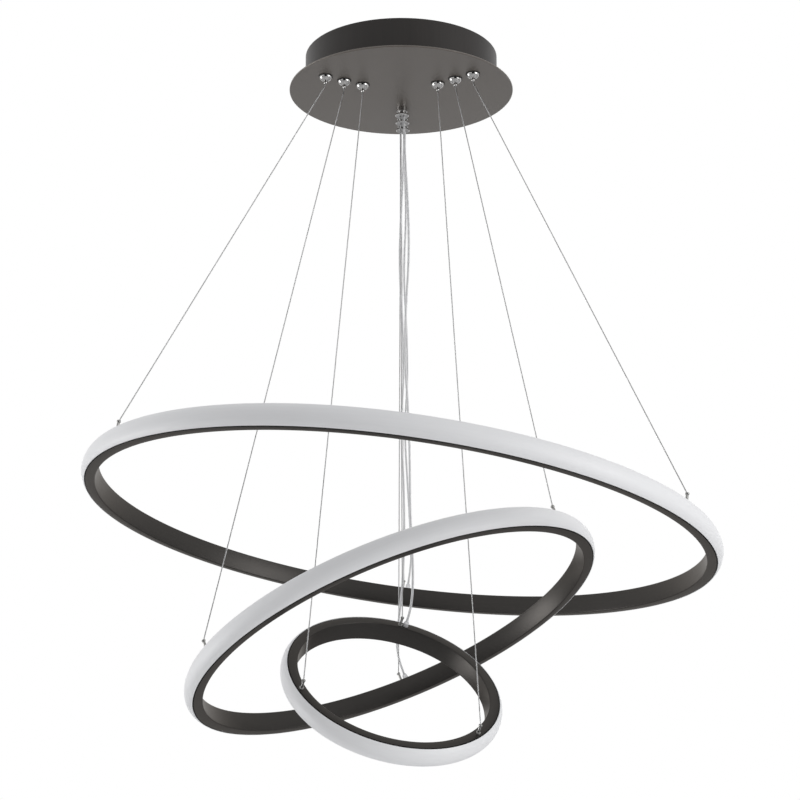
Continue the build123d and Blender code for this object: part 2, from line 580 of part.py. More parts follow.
def cord_gland(ring):
    """Domed gland on the top flange that the power cord goes into."""
    wide, stub = GLAND_DIAMETER / 2, TERMINAL_STUB_DIAMETER / 2
    neck = CORD_DIAMETER / 2 + 0.35
    inside = -CHANNEL_WALL - TERMINAL_NUT_THICKNESS
    body = turned(Polyline((0, inside), (stub, inside), (stub, 0), (wide, 0), (wide, 2.6)),
                  ThreePointArc((wide, 2.6), (wide - 0.45, GLAND_HEIGHT - 1.0), (neck, GLAND_HEIGHT)),
                  Line((neck, GLAND_HEIGHT), (0, GLAND_HEIGHT)), Line((0, GLAND_HEIGHT), (0, inside)))
    nut = hexagon(TERMINAL_NUT_WIDTH, inside, -CHANNEL_WALL, stub - 0.05)
    return ring_plane(ring).location * (Pos(gland_local(ring)) * (body + nut))


def end_ball(ring, side):
    """Ball swaged on the wire's end, the pivot of the ring's terminal."""
    return Pos(ball_centre(ring, side)) * Sphere(BALL_DIAMETER / 2)


# ---------------------------------------------------------------- wires and power cords
def tube(points, radii, diameter, name):
    """A round tube on straight runs joined by tangent arcs; prints its radii and checks its volume."""
    path = FilletPolyline(*points, radius=radii)
    start = Plane(origin=path @ 0, z_dir=path % 0)
    solid = sweep(start * Circle(diameter / 2), path=path)
    ratio = solid.volume / (math.pi * diameter ** 2 / 4 * path.length)
    print(f"{name}: length {path.length:.1f} mm, radii {[round(r) for r in radii]}, volume ratio {ratio:.4f}")
    return solid


def wire_points(ring, side):
    """The wire's end above its grip, the bend just below the grip's mouth, and the end ball."""
    grip = grip_place(ring.name, side)
    tip = DOME_HEIGHT + NIPPLE_LENGTH
    if side == "back":
        grip = grip - Vector(WIRE_CORD_SPACING / 2, 0, 0)
        tip = STEM_HEIGHT + RELEASE_TRAVEL + SLIDING_GAP + COLLAR_HEIGHT
    tail = grip + Vector(0, 0, GRIP_BARREL_LENGTH + WIRE_TAIL)
    bend = grip - Vector(0, 0, tip + WIRE_BEND * 0.3)
    ball = ball_centre(ring, side)
    end = ball + (bend - ball).normalized() * (BALL_DIAMETER / 2)
    return [tail, bend, end]


def steel_wire(ring, side):
    return tube(wire_points(ring, side), [WIRE_BEND], WIRE_DIAMETER, f"{ring.name} {side} wire")


def cord_points(ring):
    """From the driver's wall over the back grip, down through it, and straight into the gland."""
    grip = grip_place(ring.name, "back") + Vector(WIRE_CORD_SPACING / 2, 0, 0)
    level = grip.Z + GRIP_BARREL_LENGTH + CORD_TURN
    canopy = [Vector(CORD_ENTRIES[ring.name], DRIVER_BACK, level)]
    canopy += [Vector(x, y, level) for x, y in CANOPY_ROUTES[ring.name]]
    canopy += [Vector(grip.X, grip.Y, level), grip - Vector(0, 0, CORD_LEAD)]
    top = gland_local(ring) + Vector(0, 0, GLAND_HEIGHT)
    gland = to_world(ring, top)
    landing = [gland + Vector(*p) for p in CORD_LANDINGS[ring.name]]
    run_in = to_world(ring, top + Vector(0, 0, GLAND_RUN))
    return canopy + [Vector(*p) for p in CORD_ROUTES[ring.name]] + landing + [run_in, gland]


def cord(points, diameter, name):
    """A cord along these points, each corner rounded as widely as its two runs allow."""
    runs = [(b - a).length for a, b in zip(points, points[1:])]
    turns = [(b - a).get_angle(c - b) for a, b, c in zip(points, points[1:], points[2:])]
    radii = [0.45 * min(before, after) / math.tan(math.radians(turn) / 2)
             for before, after, turn in zip(runs, runs[1:], turns)]
    print(f"{name}: runs {[round(r) for r in runs]}, turns {[round(t, 1) for t in turns]}")
    return tube(points, radii, diameter, name)


def mains_lead(side):
    """Insulated lead from an outer way of the terminal block to the driver's front wall."""
    x = side * TERMINAL_PITCH
    start = TERMINAL_BLOCK_CENTRE_Y + TERMINAL_BLOCK_WIDTH / 2
    run = DRIVER_FRONT - start
    shape = [(0, 0), (0.22, 0), (0.5, side * LEAD_BOW), (0.78, 0), (1, 0)]
    points = [Vector(x + bow, start + share * run, LEAD_HEIGHT) for share, bow in shape]
    return cord(points, LEAD_DIAMETER, "mains lead")


# ---------------------------------------------------------------- the whole part
def build():
    parts = {
        "mounting_bracket": mounting_bracket(),
        "side_screws": side_screws(),
        "canopy_drum": canopy_drum(),
        "canopy_plate": canopy_plate(),
        "plate_nuts": plate_nuts(),
        "led_driver": led_driver(),
        "driver_screws": driver_screws(),
        "terminal_block": terminal_block(),
        "mains_leads": Compound(children=[mains_lead(-1), mains_lead(1)]),
        "front_grips": Compound(children=[Pos(place) * front_grip() for place in front_grip_places()]),
        "back_grips": Compound(children=[Pos(place) * back_grip() for place in back_grip_places()]),
        "grip_nuts": grip_nuts(),
    }
    for ring in RINGS:
        place = ring_plane(ring).location
        parts[f"{ring.name}_ring_channel"] = place * ring_channel(ring)
        parts[f"{ring.name}_diffuser"] = place * ring_diffuser(ring)
        parts[f"{ring.name}_led_strip"] = place * led_strip(ring)
        parts[f"{ring.name}_splice_bar"] = place * splice_bar(ring)
        parts[f"{ring.name}_wire_terminals"] = wire_terminals(ring)
        parts[f"{ring.name}_cord_gland"] = cord_gland(ring)
        parts[f"{ring.name}_power_cord"] = cord(cord_points(ring), CORD_DIAMETER, f"{ring.name} power cord")
        for side in SIDES:
            parts[f"{ring.name}_{side}_release"] = release_sleeve(ring.name, side)
            parts[f"{ring.name}_{side}_wire"] = steel_wire(ring, side)
            parts[f"{ring.name}_{side}_end_ball"] = end_ball(ring, side)
    return parts


def main():
    os.makedirs("parts", exist_ok=True)
    for name, shape in build().items():
        export_step(shape, os.path.join("parts", name + ".step"))


if __name__ == "__main__":
    main()
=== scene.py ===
import json
import math

import bmesh
import bpy
from mathutils import Matrix, Vector


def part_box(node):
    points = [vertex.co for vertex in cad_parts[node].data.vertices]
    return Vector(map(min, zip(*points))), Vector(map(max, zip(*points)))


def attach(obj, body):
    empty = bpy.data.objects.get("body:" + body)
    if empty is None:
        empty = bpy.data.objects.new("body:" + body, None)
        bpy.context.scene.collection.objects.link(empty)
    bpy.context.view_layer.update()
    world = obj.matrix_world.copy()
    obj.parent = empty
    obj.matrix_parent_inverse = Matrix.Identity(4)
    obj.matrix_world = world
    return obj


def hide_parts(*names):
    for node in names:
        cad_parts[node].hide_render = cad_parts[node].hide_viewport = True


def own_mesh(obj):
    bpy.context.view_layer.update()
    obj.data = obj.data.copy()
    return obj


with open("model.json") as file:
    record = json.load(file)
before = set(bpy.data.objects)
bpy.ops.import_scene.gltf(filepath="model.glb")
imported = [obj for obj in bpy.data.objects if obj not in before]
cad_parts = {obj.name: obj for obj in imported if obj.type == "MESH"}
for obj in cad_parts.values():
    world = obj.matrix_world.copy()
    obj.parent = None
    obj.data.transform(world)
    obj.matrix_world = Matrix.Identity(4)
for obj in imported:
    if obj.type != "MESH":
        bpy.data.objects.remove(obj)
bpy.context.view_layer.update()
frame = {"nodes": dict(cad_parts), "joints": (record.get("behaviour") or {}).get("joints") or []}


# ---------------------------------------------------------------- the viewer
# A long lens a little below the rings, tilted up towards the ceiling canopy, so that the canopy
# shows its underside and each ring shows as an ellipse.
def added(name, data):
    """A new object in the scene."""
    thing = bpy.data.objects.new(name, data)
    bpy.context.scene.collection.objects.link(thing)
    return thing


camera = added("viewer", bpy.data.cameras.new("viewer"))
camera.data.sensor_width = 36.0
camera.data.lens = 74.61
camera.location = (-0.0012, -1.592, -0.703)
camera.rotation_euler = (math.radians(102.22), 0.0, 0.0)
bpy.context.scene.camera = camera


# ---------------------------------------------------------------- mounting bracket
# A strap of bright zinc-plated steel that screws to the ceiling through its two slots, its ends
# bent down inside the drum. The grub screws through the drum's wall, the driver's screws, all
# nuts and the rings' splice bars have its finish.
class Reading:
    """What a node gives out; it can be added, multiplied and compared like a number."""

    def __init__(self, tree, socket):
        self.tree = tree
        self.socket = socket

    def worked(self, operation, *others):
        """A Math node's result from this reading and the others, in that order."""
        return self.tree.add("ShaderNodeMath", {"operation": operation}, dict(enumerate((self, *others))))

    def __add__(self, other):
        return self.worked("ADD", other)

    def __sub__(self, other):
        return self.worked("SUBTRACT", other)

    def __rsub__(self, other):
        return self.tree.add("ShaderNodeMath", {"operation": "SUBTRACT"}, {0: other, 1: self})

    def __mul__(self, other):
        return self.worked("MULTIPLY", other)

    def __truediv__(self, other):
        return self.worked("DIVIDE", other)

    def __pow__(self, other):
        return self.worked("POWER", other)

    def __abs__(self):
        return self.worked("ABSOLUTE")

    def __lt__(self, other):
        return self.worked("LESS_THAN", other)

    def __gt__(self, other):
        return self.worked("GREATER_THAN", other)

    __radd__, __rmul__ = __add__, __mul__


class NodeTree:
    """A shader or geometry tree: add() makes a node, sets it up, feeds it and returns an output."""

    def __init__(self, tree):
        self.tree = tree

    def add(self, kind, settings=None, inputs=None, output=0):
        node = self.tree.nodes.new(kind)
        for name, value in (settings or {}).items():
            setattr(node, name, value)
        for key, value in (inputs or {}).items():
            self.feed(node.inputs[key], value)
        return Reading(self, node.outputs[output])

    def feed(self, socket, value):
        if isinstance(value, Reading):
            self.tree.links.new(value.socket, socket)
        else:
            socket.default_value = value

    def parts(self, vector):
        """A vector's three numbers."""
        return [self.add("ShaderNodeSeparateXYZ", inputs={0: vector}, output=axis) for axis in "XYZ"]

    def vector(self, x, y, z):
        return self.add("ShaderNodeCombineXYZ", inputs={"X": x, "Y": y, "Z": z})


class Finish(NodeTree):
    """One material: its node tree, its surface shader and the place on the object."""

    def __init__(self, name, colour, roughness, metallic=0.0, **constants):
        self.material = bpy.data.materials.new(name)
        self.material.use_nodes = True
        super().__init__(self.material.node_tree)
        self.surface = self.tree.nodes["Principled BSDF"]
        self.surface.inputs["Base Color"].default_value = (*colour, 1.0)
        self.surface.inputs["Roughness"].default_value = roughness
        self.surface.inputs["Metallic"].default_value = metallic
        for key, value in constants.items():
            self.surface.inputs[key.replace("_", " ")].default_value = value
        self.place = self.add("ShaderNodeTexCoord", output="Object")

    def use(self, name, value):
        self.feed(self.surface.inputs[name], value)

    def grain(self, scale, detail=2.0, where=None, roughness=0.5):
        """Soft noise from 0 to 1, with this many lumps to the metre."""
        vector = self.place if where is None else where
        return self.add("ShaderNodeTexNoise", inputs={
            "Vector": vector, "Scale": scale, "Detail": detail, "Roughness": roughness})

    def stretched(self, x, y, z):
        """The place on the object with each axis scaled, for grain that runs one way."""
        return self.add("ShaderNodeMapping", inputs={"Vector": self.place, "Scale": (x, y, z)})

    def tint(self, share, first, second):
        """A colour mixed from two, each a colour or a reading."""
        first, second = [(*c, 1.0) if isinstance(c, tuple) else c for c in (first, second)]
        return self.add("ShaderNodeMix", {"data_type": "RGBA"}, {0: share, 6: first, 7: second}, output=2)

    def coloured(self, share, first, second):
        """Let the base colour run from the first to the second as the share grows."""
        self.use("Base Color", self.tint(share, first, second))

    def relief(self, height, depth):
        """Raise the surface by height times depth, in metres."""
        self.use("Normal", self.add("ShaderNodeBump", inputs={"Height": height, "Distance": depth}))


def dress(finish, slot, *nodes):
    """Give these CAD nodes a finish; the slot is not used."""
    for name in nodes:
        node = frame["nodes"][name]
        node.data.materials.clear()
        node.data.materials.append(finish.material)


zinc = Finish("bright zinc plate", (0.34, 0.35, 0.36), 0.34, metallic=1.0)
zinc_crystals = zinc.add("ShaderNodeTexVoronoi", inputs={
    "Vector": zinc.place, "Scale": 700.0}, output="Distance")
zinc_cloud = zinc.grain(160.0, 3.0)
zinc.coloured(zinc_cloud * 0.6 + zinc_crystals * 0.4, (0.27, 0.28, 0.29), (0.44, 0.45, 0.46))
zinc.use("Roughness", 0.26 + 0.16 * zinc_cloud)
zinc.relief(zinc.grain(5200.0), 0.00001)
dress(zinc, "zinc_steel", "mounting_bracket", "side_screws", "plate_nuts", "grip_nuts", "driver_screws")

# ---------------------------------------------------------------- canopy drum
# A drum spun from steel sheet, open at the ceiling, with an inward flange that carries the plate.
# Its warm grey satin paint is painted much darker than the plate's, as shade on the upright wall, over the
# faint upright marks of the sheet's brushing.
# Painted shade: the drum's colours are far darker than the plate paint and stand for the light that its
# upright wall misses.
drum_paint = Finish("dark satin paint", (0.022, 0.0192, 0.0180), 0.42, metallic=0.2, Specular_IOR_Level=0.3)
drum_brush = drum_paint.grain(1.0, 3.0, drum_paint.stretched(420.0, 420.0, 18.0), 0.6)
drum_cloud = drum_paint.grain(1.0, 2.0, drum_paint.stretched(48.0, 48.0, 6.0))
drum_paint.coloured(drum_brush * 0.5 + drum_cloud * 0.5, (0.014, 0.0122, 0.0115), (0.030, 0.0265, 0.0245))
drum_paint.use("Roughness", 0.36 + 0.10 * drum_brush + 0.06 * drum_cloud)
drum_paint.relief(drum_brush, 0.00002)
dress(drum_paint, "drum_paint", "canopy_drum")

# ---------------------------------------------------------------- canopy plate
# The flat steel cover plate, with its edge rounded over, the studs that hold it to the drum, and
# the holes of the nine grips. It is brushed from front to back under a warm mid grey satin paint.
plate_paint = Finish("warm grey satin paint", (0.125, 0.110, 0.097), 0.36, metallic=0.35)
plate_brush = plate_paint.grain(1.0, 4.0, plate_paint.stretched(700.0, 14.0, 300.0), 0.65)
plate_cloud = plate_paint.grain(14.0, 2.0)
plate_paint.coloured(plate_brush, (0.110, 0.0970, 0.0855), (0.140, 0.1235, 0.1090))
plate_paint.use("Roughness", 0.28 + 0.12 * plate_brush + 0.06 * plate_cloud)
plate_paint.relief(plate_brush, 0.00002)
dress(plate_paint, "plate_paint", "canopy_plate")

# ---------------------------------------------------------------- driver
# The power supply in a moulded case of fine matt plastic, screwed to the plate by its two ears,
# with a sunk vent panel at each end.
driver_case = Finish("fine matt moulding", (0.69, 0.69, 0.66), 0.55)
driver_spark = driver_case.grain(3800.0, 2.0)
driver_dust = driver_case.grain(60.0, 3.0)
driver_case.coloured(driver_dust, (0.66, 0.66, 0.63), (0.72, 0.72, 0.69))
driver_case.use("Roughness", 0.48 + 0.14 * driver_spark)
driver_case.relief(driver_spark, 0.00004)
dress(driver_case, "driver_case", "led_driver")

# ---------------------------------------------------------------- terminal block
# The mains connector, milky polyamide with three ways. Each way's brass screw sits deep in its
# well and clamps a lead that comes in at the side.
polyamide = Finish("milky polyamide", (0.74, 0.74, 0.70), 0.42, Subsurface_Weight=0.08)
polyamide_flow = polyamide.grain(90.0, 3.0)
polyamide.coloured(polyamide_flow, (0.70, 0.70, 0.66), (0.78, 0.78, 0.75))
polyamide.use("Roughness", 0.34 + 0.16 * polyamide_flow)
polyamide.relief(polyamide.grain(2600.0), 0.00002)
dress(polyamide, "connector_plastic", "terminal_block")

SHARP_FROM = 32.0             # degrees between two faces, past which their edge stays sharp


def finished_mesh(name, shape):
    """Close a bmesh into a mesh, smooth except at its sharp edges."""
    for face in shape.faces:
        face.smooth = True
    for edge in shape.edges:
        edge.smooth = len(edge.link_faces) == 2 and edge.calc_face_angle(0.0) < math.radians(SHARP_FROM)
    mesh = bpy.data.meshes.new(name)
    shape.to_mesh(mesh)
    shape.free()
    return mesh


def circle(shape, radius, height, steps):
    """A level circle of points round the Z axis."""
    angles = [2 * math.pi * k / steps for k in range(steps)]
    return [shape.verts.new((radius * math.cos(a), radius * math.sin(a), height)) for a in angles]


def wall(shape, low, high):
    """A band of faces between two closed rows of as many points."""
    for k in range(len(low)):
        after = (k + 1) % len(low)
        shape.faces.new((low[k], low[after], high[after], high[k]))


def placed(name, mesh, finish, body):
    """Show a mesh as a piece of a body, with its finish."""
    piece = added(name, mesh)
    mesh.materials.clear()
    mesh.materials.append(finish.material)
    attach(piece, body)
    return piece


class Recipe(NodeTree):
    """A Geometry Nodes tree with named inputs, which ends in plain faces with one material."""

    def __init__(self, name, **inputs):
        super().__init__(bpy.data.node_groups.new(name, "GeometryNodeTree"))
        kinds = {float: "NodeSocketFloat", int: "NodeSocketInt", Vector: "NodeSocketVector",
                 bpy.types.Object: "NodeSocketObject", bpy.types.Material: "NodeSocketMaterial"}
        sockets = self.tree.interface
        sockets.new_socket("Geometry", in_out="INPUT", socket_type="NodeSocketGeometry")
        for key, kind in inputs.items():
            sockets.new_socket(key, in_out="INPUT", socket_type=kinds[kind])
        sockets.new_socket("Geometry", in_out="OUTPUT", socket_type="NodeSocketGeometry")
        self.given = self.tree.nodes.new("NodeGroupInput")

    def input(self, name):
        return Reading(self, self.given.outputs[name])

    def shape_of(self, name):
        """The shape of the object given under this name."""
        return self.add("GeometryNodeObjectInfo", inputs={"Object": self.input(name)}, output="Geometry")

    def ends_in(self, geometry, corner=None):
        """Realize what came out, keep corners sharper than an angle, and set the material."""
        solid = self.add("GeometryNodeRealizeInstances", inputs={"Geometry": geometry})
        solid = self.add("GeometryNodeSetShadeSmooth", inputs={"Geometry": solid})
        if corner is not None:
            sharp = self.add("GeometryNodeInputMeshEdgeAngle") > math.radians(corner)
            solid = self.add("GeometryNodeSetShadeSmooth", {"domain": "EDGE"},
                             {"Geometry": solid, "Selection": sharp, "Shade Smooth": False})
        solid = self.add("GeometryNodeSetMaterial", inputs={
            "Geometry": solid, "Material": self.input("Finish")})
        self.tree.links.new(solid.socket, self.tree.nodes.new("NodeGroupOutput").inputs[0])

    def made(self, name, source, **values):
        """Run the recipe on a source object and return the result as a plain mesh."""
        modifier = source.modifiers.new(self.tree.name, "NODES")
        modifier.node_group = self.tree
        for item in self.tree.interface.items_tree:
            if item.in_out == "INPUT" and item.name in values:
                modifier[item.identifier] = values[item.name]
        bpy.context.view_layer.update()
        mesh = bpy.data.meshes.new_from_object(source.evaluated_get(bpy.context.evaluated_depsgraph_get()))
        source.modifiers.remove(modifier)
        mesh.name = name
        return mesh


def template(name, data):
    """A hidden object that a recipe takes a shape from."""
    shape = added(name, data)
    shape.hide_render = True
    shape.hide_viewport = True
    return shape


def spots(name, points):
    """A mesh of loose points for a recipe to stand things on."""
    mesh = bpy.data.meshes.new(name)
    mesh.from_pydata([tuple(p) for p in points], [], [])
    return added(name, mesh)


standing = Recipe("things on spots", Thing=bpy.types.Object, Turn=Vector, Finish=bpy.types.Material)
standing_all = standing.add("GeometryNodeInstanceOnPoints", inputs={
    "Points": standing.input("Geometry"), "Instance": standing.shape_of("Thing"),
    "Rotation": standing.input("Turn")})
standing.ends_in(standing_all, corner=SHARP_FROM)


def stood(name, thing, points, finish, body, turn=(0.0, 0.0, 0.0)):
    """Copies of one small thing on these points, as one piece."""
    shape = template(name + ".thing", thing)
    source = spots(name + ".spots", points)
    mesh = standing.made(name, source, Thing=shape, Turn=turn, Finish=finish.material)
    for spare in (shape, source):
        bpy.data.objects.remove(spare)
    return placed(name, mesh, finish, body)


brass = Finish("brass", (0.62, 0.42, 0.16), 0.3, metallic=1.0)
brass_wear = brass.grain(1400.0, 3.0)
brass.coloured(brass_wear, (0.52, 0.35, 0.13), (0.70, 0.50, 0.22))
brass.use("Roughness", 0.22 + 0.2 * brass_wear)

SCREW_RADIUS = 0.0019
SLOT_HALF = 0.00035           # half the width of the slot across a screw's head
SLOT_FLOOR, HEAD_EDGE, HEAD_TOP = 0.0006, 0.0013, 0.0015
TOP_ALONG, TOP_ACROSS = 0.9, 0.88     # shares of the head that are left inside its bevelled edge
HALF_STEPS, SCREW_STEPS = 14, 28
WELL_DEPTH = 0.5              # of the block's height
block_low, block_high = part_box("terminal_block")
block_x = (block_low.x + block_high.x) / 2
block_y = (block_low.y + block_high.y) / 2
block_pitch = (block_high.x - block_low.x) / 3
well_floor = block_low.z + (block_high.z - block_low.z) * WELL_DEPTH
slot_turn = math.asin(SLOT_HALF / SCREW_RADIUS)
head_angles = [slot_turn + (math.pi - 2 * slot_turn) * k / HALF_STEPS for k in range(HALF_STEPS + 1)]
head_levels = (SLOT_FLOOR, HEAD_EDGE, HEAD_TOP)
screw_shape = bmesh.new()
for side in (-1, 1):
    arc = [(SCREW_RADIUS * math.cos(a), side * SCREW_RADIUS * math.sin(a)) for a in head_angles]
    half_head = [[screw_shape.verts.new((x, y, z)) for x, y in arc] for z in head_levels]
    for vertex in half_head[-1]:
        vertex.co.x = vertex.co.x * TOP_ALONG
        vertex.co.y = side * (SLOT_HALF + (abs(vertex.co.y) - SLOT_HALF) * TOP_ACROSS)
    for low, high in zip(half_head, half_head[1:]):
        wall(screw_shape, low, high)
    screw_shape.faces.new(half_head[-1])
    screw_shape.faces.new(half_head[0])
foot = circle(screw_shape, SCREW_RADIUS, 0.0, SCREW_STEPS)
screw_shape.faces.new(foot)
slot_rim = circle(screw_shape, SCREW_RADIUS, SLOT_FLOOR, SCREW_STEPS)
screw_shape.faces.new(slot_rim)
wall(screw_shape, foot, slot_rim)
bmesh.ops.recalc_face_normals(screw_shape, faces=screw_shape.faces)
stood("terminal_screws", finished_mesh("terminal screw", screw_shape),
      [(block_x + way * block_pitch, block_y, well_floor) for way in (-1, 0, 1)],
      brass, "canopy")

# ---------------------------------------------------------------- grips and release sleeves
# Nine grips of polished chrome: six domes at the front, each on a thin black washer that stands in
# for the shade where the dome meets the plate, and three short stems at the back, each with a sleeve
# that is pushed up to let its wire through.
RINGS = ("large", "medium", "small")
SIDES = ("left", "right", "back")
chrome = Finish("polished chrome", (0.46, 0.452, 0.445), 0.07, metallic=1.0)
chrome_smear = chrome.grain(260.0, 3.0)
chrome.coloured(chrome_smear, (0.43, 0.423, 0.416), (0.49, 0.482, 0.475))
chrome.use("Roughness", 0.04 + 0.06 * chrome_smear)
dress(chrome, "chrome", "front_grips", "back_grips",
      *[f"{ring}_{side}_release" for ring in RINGS for side in SIDES])


def middle(node):
    """The middle of a CAD node's box."""
    low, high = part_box(node)
    return (low + high) / 2


def lathe(name, outline, steps):
    """A mesh turned about the Z axis from (radius, height) points, smooth but for its corners."""
    shape = bmesh.new()
    rounds = [circle(shape, radius, height, steps) for radius, height in outline]
    for low, high in zip(rounds, rounds[1:] + rounds[:1]):
        wall(shape, low, high)
    bmesh.ops.remove_doubles(shape, verts=shape.verts, dist=1e-7)
    bmesh.ops.recalc_face_normals(shape, faces=shape.faces)
    return finished_mesh(name, shape)


rubber = Finish("soft black rubber", (0.020, 0.020, 0.021), 0.6, Specular_IOR_Level=0.3)
rubber_bloom = rubber.grain(1200.0, 3.0)
rubber.coloured(rubber_bloom, (0.010, 0.010, 0.011), (0.026, 0.026, 0.027))
rubber.use("Roughness", 0.5 + 0.2 * rubber_bloom)

# Painted shade: the black washers are dark rings put at each front dome's foot to stand for the shade where
# it meets the plate.
DOME_RADIUS, SHADE_WASHER_RADIUS, SHADE_WASHER_HEIGHT = 0.0065, 0.0070, 0.0009
SHADE_WASHER_BORE = DOME_RADIUS - 0.0006
SHADE_WASHER_SUNK, SHADE_WASHER_ROUNDING = 0.0001, 0.0003
SHADE_WASHER_STEPS = 36
shade_washer_outline = [(SHADE_WASHER_BORE, SHADE_WASHER_SUNK), (SHADE_WASHER_RADIUS - SHADE_WASHER_SUNK, SHADE_WASHER_SUNK),
                  (SHADE_WASHER_RADIUS, -2 * SHADE_WASHER_SUNK), (SHADE_WASHER_RADIUS, -SHADE_WASHER_HEIGHT + SHADE_WASHER_ROUNDING),
                  (SHADE_WASHER_RADIUS - SHADE_WASHER_ROUNDING, -SHADE_WASHER_HEIGHT), (SHADE_WASHER_BORE, -SHADE_WASHER_HEIGHT)]
plate_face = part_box("canopy_plate")[0].z
front_sleeves = [middle(f"{ring}_{side}_release") for ring in RINGS for side in SIDES[:2]]
stood("grip_washers", lathe("shade washer", shade_washer_outline, SHADE_WASHER_STEPS),
      [(sleeve.x, sleeve.y, plate_face) for sleeve in front_sleeves], rubber, "canopy")

# ---------------------------------------------------------------- steel wires
# Each ring hangs on three wires of seven twisted steel strands. A wire leaves its grip's barrel
# above the plate in a crimped end cap, bends at the grip's mouth, and ends in a swaged ball.
WIRE_DIAMETER = 0.0012
WIRE_LAY = 0.0095             # length in which a strand goes once round
WIRE_STEP = WIRE_DIAMETER * 1.05
STRAND_SIDES = 5
WIRE_BEND_DROP = 0.0015       # from a release sleeve's tip down to the bend
WIRE_CORD_SPACING = 0.0038    # the back wires share their grips with the power cords
WIRE_NEAR_BEND = 0.007


def wire_route(ring, side):
    """End above the grip, bend below its mouth, and the end ball, with a point each side of the bend."""
    low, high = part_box(f"{ring}_{side}_release")
    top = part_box(f"{ring}_{side}_wire")[1].z
    beside_cord = WIRE_CORD_SPACING / 2 if side == "back" else 0.0
    x = (low.x + high.x) / 2 - beside_cord
    y = (low.y + high.y) / 2
    bend = Vector((x, y, low.z - WIRE_BEND_DROP))
    ball = middle(f"{ring}_{side}_end_ball")
    ball_low, ball_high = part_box(f"{ring}_{side}_end_ball")
    ball_radius = (ball_high.x - ball_low.x) / 2
    away = (ball - bend).normalized()
    return [Vector((x, y, top)), bend + Vector((0, 0, WIRE_NEAR_BEND)), bend, bend + away * WIRE_NEAR_BEND,
            ball - away * ball_radius]


def route_curve(name, points):
    """A smooth centreline from its first point to its last, steered by the points between."""
    curve = bpy.data.curves.new(name, "CURVE")
    curve.dimensions = "3D"
    curve.resolution_u = 16
    spline = curve.splines.new("NURBS")
    spline.points.add(len(points) - 1)
    for point, place in zip(spline.points, points):
        point.co = (*place, 1.0)
    spline.order_u = 3
    spline.use_endpoint_u = True
    return added(name, curve)


def walked(centreline):
    """The points that a bare centreline runs through, and its length."""
    bpy.context.view_layer.update()
    mesh = bpy.data.meshes.new_from_object(centreline.evaluated_get(bpy.context.evaluated_depsgraph_get()))
    path = [vertex.co.copy() for vertex in mesh.vertices]
    return path, sum((b - a).length for a, b in zip(path, path[1:]))


def bundle(name, radius, places, sides):
    """The cross-section of a rope or cord: a small circle at each place."""
    curve = bpy.data.curves.new(name, "CURVE")
    curve.dimensions = "2D"
    for x, y in places:
        spline = curve.splines.new("POLY")
        spline.points.add(sides - 1)
        for k, point in enumerate(spline.points):
            angle = 2 * math.pi * k / sides
            point.co = (x + radius * math.cos(angle), y + radius * math.sin(angle), 0.0, 1.0)
        spline.use_cyclic_u = True
    return template(name, curve)


laid = Recipe("strands laid along a centreline", Section=bpy.types.Object, Step=float, Lay=float,
              Finish=bpy.types.Material)
laid_line = laid.add("GeometryNodeResampleCurve", {"mode": "LENGTH"}, {
    "Curve": laid.input("Geometry"), "Length": laid.input("Step")})
laid_turn = laid.add("GeometryNodeSplineParameter", output="Length") / laid.input("Lay") * (2 * math.pi)
laid_line = laid.add("GeometryNodeSetCurveTilt", inputs={"Curve": laid_line, "Tilt": laid_turn})
laid.ends_in(laid.add("GeometryNodeCurveToMesh", inputs={
    "Curve": laid_line, "Profile Curve": laid.shape_of("Section"), "Fill Caps": True}))

steel = Finish("bright steel strand", (0.54, 0.54, 0.545), 0.34, metallic=1.0)
steel_draw = steel.grain(2200.0, 3.0)
steel.coloured(steel_draw, (0.47, 0.47, 0.473), (0.62, 0.62, 0.623))
steel.use("Roughness", 0.26 + 0.2 * steel_draw)


def hoisted(piece, ring, side, bend):
    """Work out how far the ring's hoist pulls this side's end ball, and give the wire or cord its own mesh.
    """
    joint = next(j for j in frame["joints"] if j["name"] == f"{ring}_{side}_hoist")
    ball = middle(f"{ring}_{side}_end_ball")
    pivot = Vector(joint["pos_m"])
    turn = Matrix.Rotation(math.radians(joint["range_deg"][1]), 3, Vector(joint["axis"]))
    pull = pivot + turn @ (ball - pivot) - ball
    way = pull.normalized()
    1.0 - pull.length / abs((ball - bend).dot(way))
    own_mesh(piece)


strand = WIRE_DIAMETER / 6
strand_angles = [math.pi * k / 3 for k in range(6)]
strand_places = [(0.0, 0.0)] + [(2 * strand * math.cos(a), 2 * strand * math.sin(a)) for a in strand_angles]
wire_section = bundle("wire section", strand, strand_places, STRAND_SIDES)
for ring in RINGS:
    for side in SIDES:
        name = f"{ring}_{side}_wire"
        route = wire_route(ring, side)
        centreline = route_curve(name + ".line", route)
        path, length = walked(centreline)
        rope = laid.made(name, centreline, Section=wire_section, Step=WIRE_STEP, Lay=WIRE_LAY,
                         Finish=steel.material)
        wire = placed(name + ".rope", rope, steel, "canopy")
        bpy.data.objects.remove(centreline)
        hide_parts(name)
        hoisted(wire, ring, side, route[2])
bpy.data.objects.remove(wire_section)

CAP_RADIUS, CAP_REACH = 0.0011, 0.0042
CAP_MOUTH, CAP_CRIMP = CAP_RADIUS * 0.8, CAP_RADIUS * 0.86
CAP_STEPS = 20
cap_outline = [(WIRE_DIAMETER / 2, -CAP_REACH), (CAP_MOUTH, -CAP_REACH), (CAP_RADIUS, -CAP_REACH * 0.93),
               (CAP_RADIUS, -CAP_REACH * 0.72), (CAP_CRIMP, -CAP_REACH * 0.64), (CAP_CRIMP, -CAP_REACH * 0.5),
               (CAP_RADIUS, -CAP_REACH * 0.42), (CAP_RADIUS, -CAP_REACH * 0.08), (CAP_MOUTH, 0.0002),
               (0.0, 0.0003), (0.0, -0.0001), (WIRE_DIAMETER / 2, -0.0001)]
stood("wire_end_caps", lathe("end cap", cap_outline, CAP_STEPS),
      [wire_route(ring, side)[0] for ring in RINGS for side in SIDES], steel, "canopy")

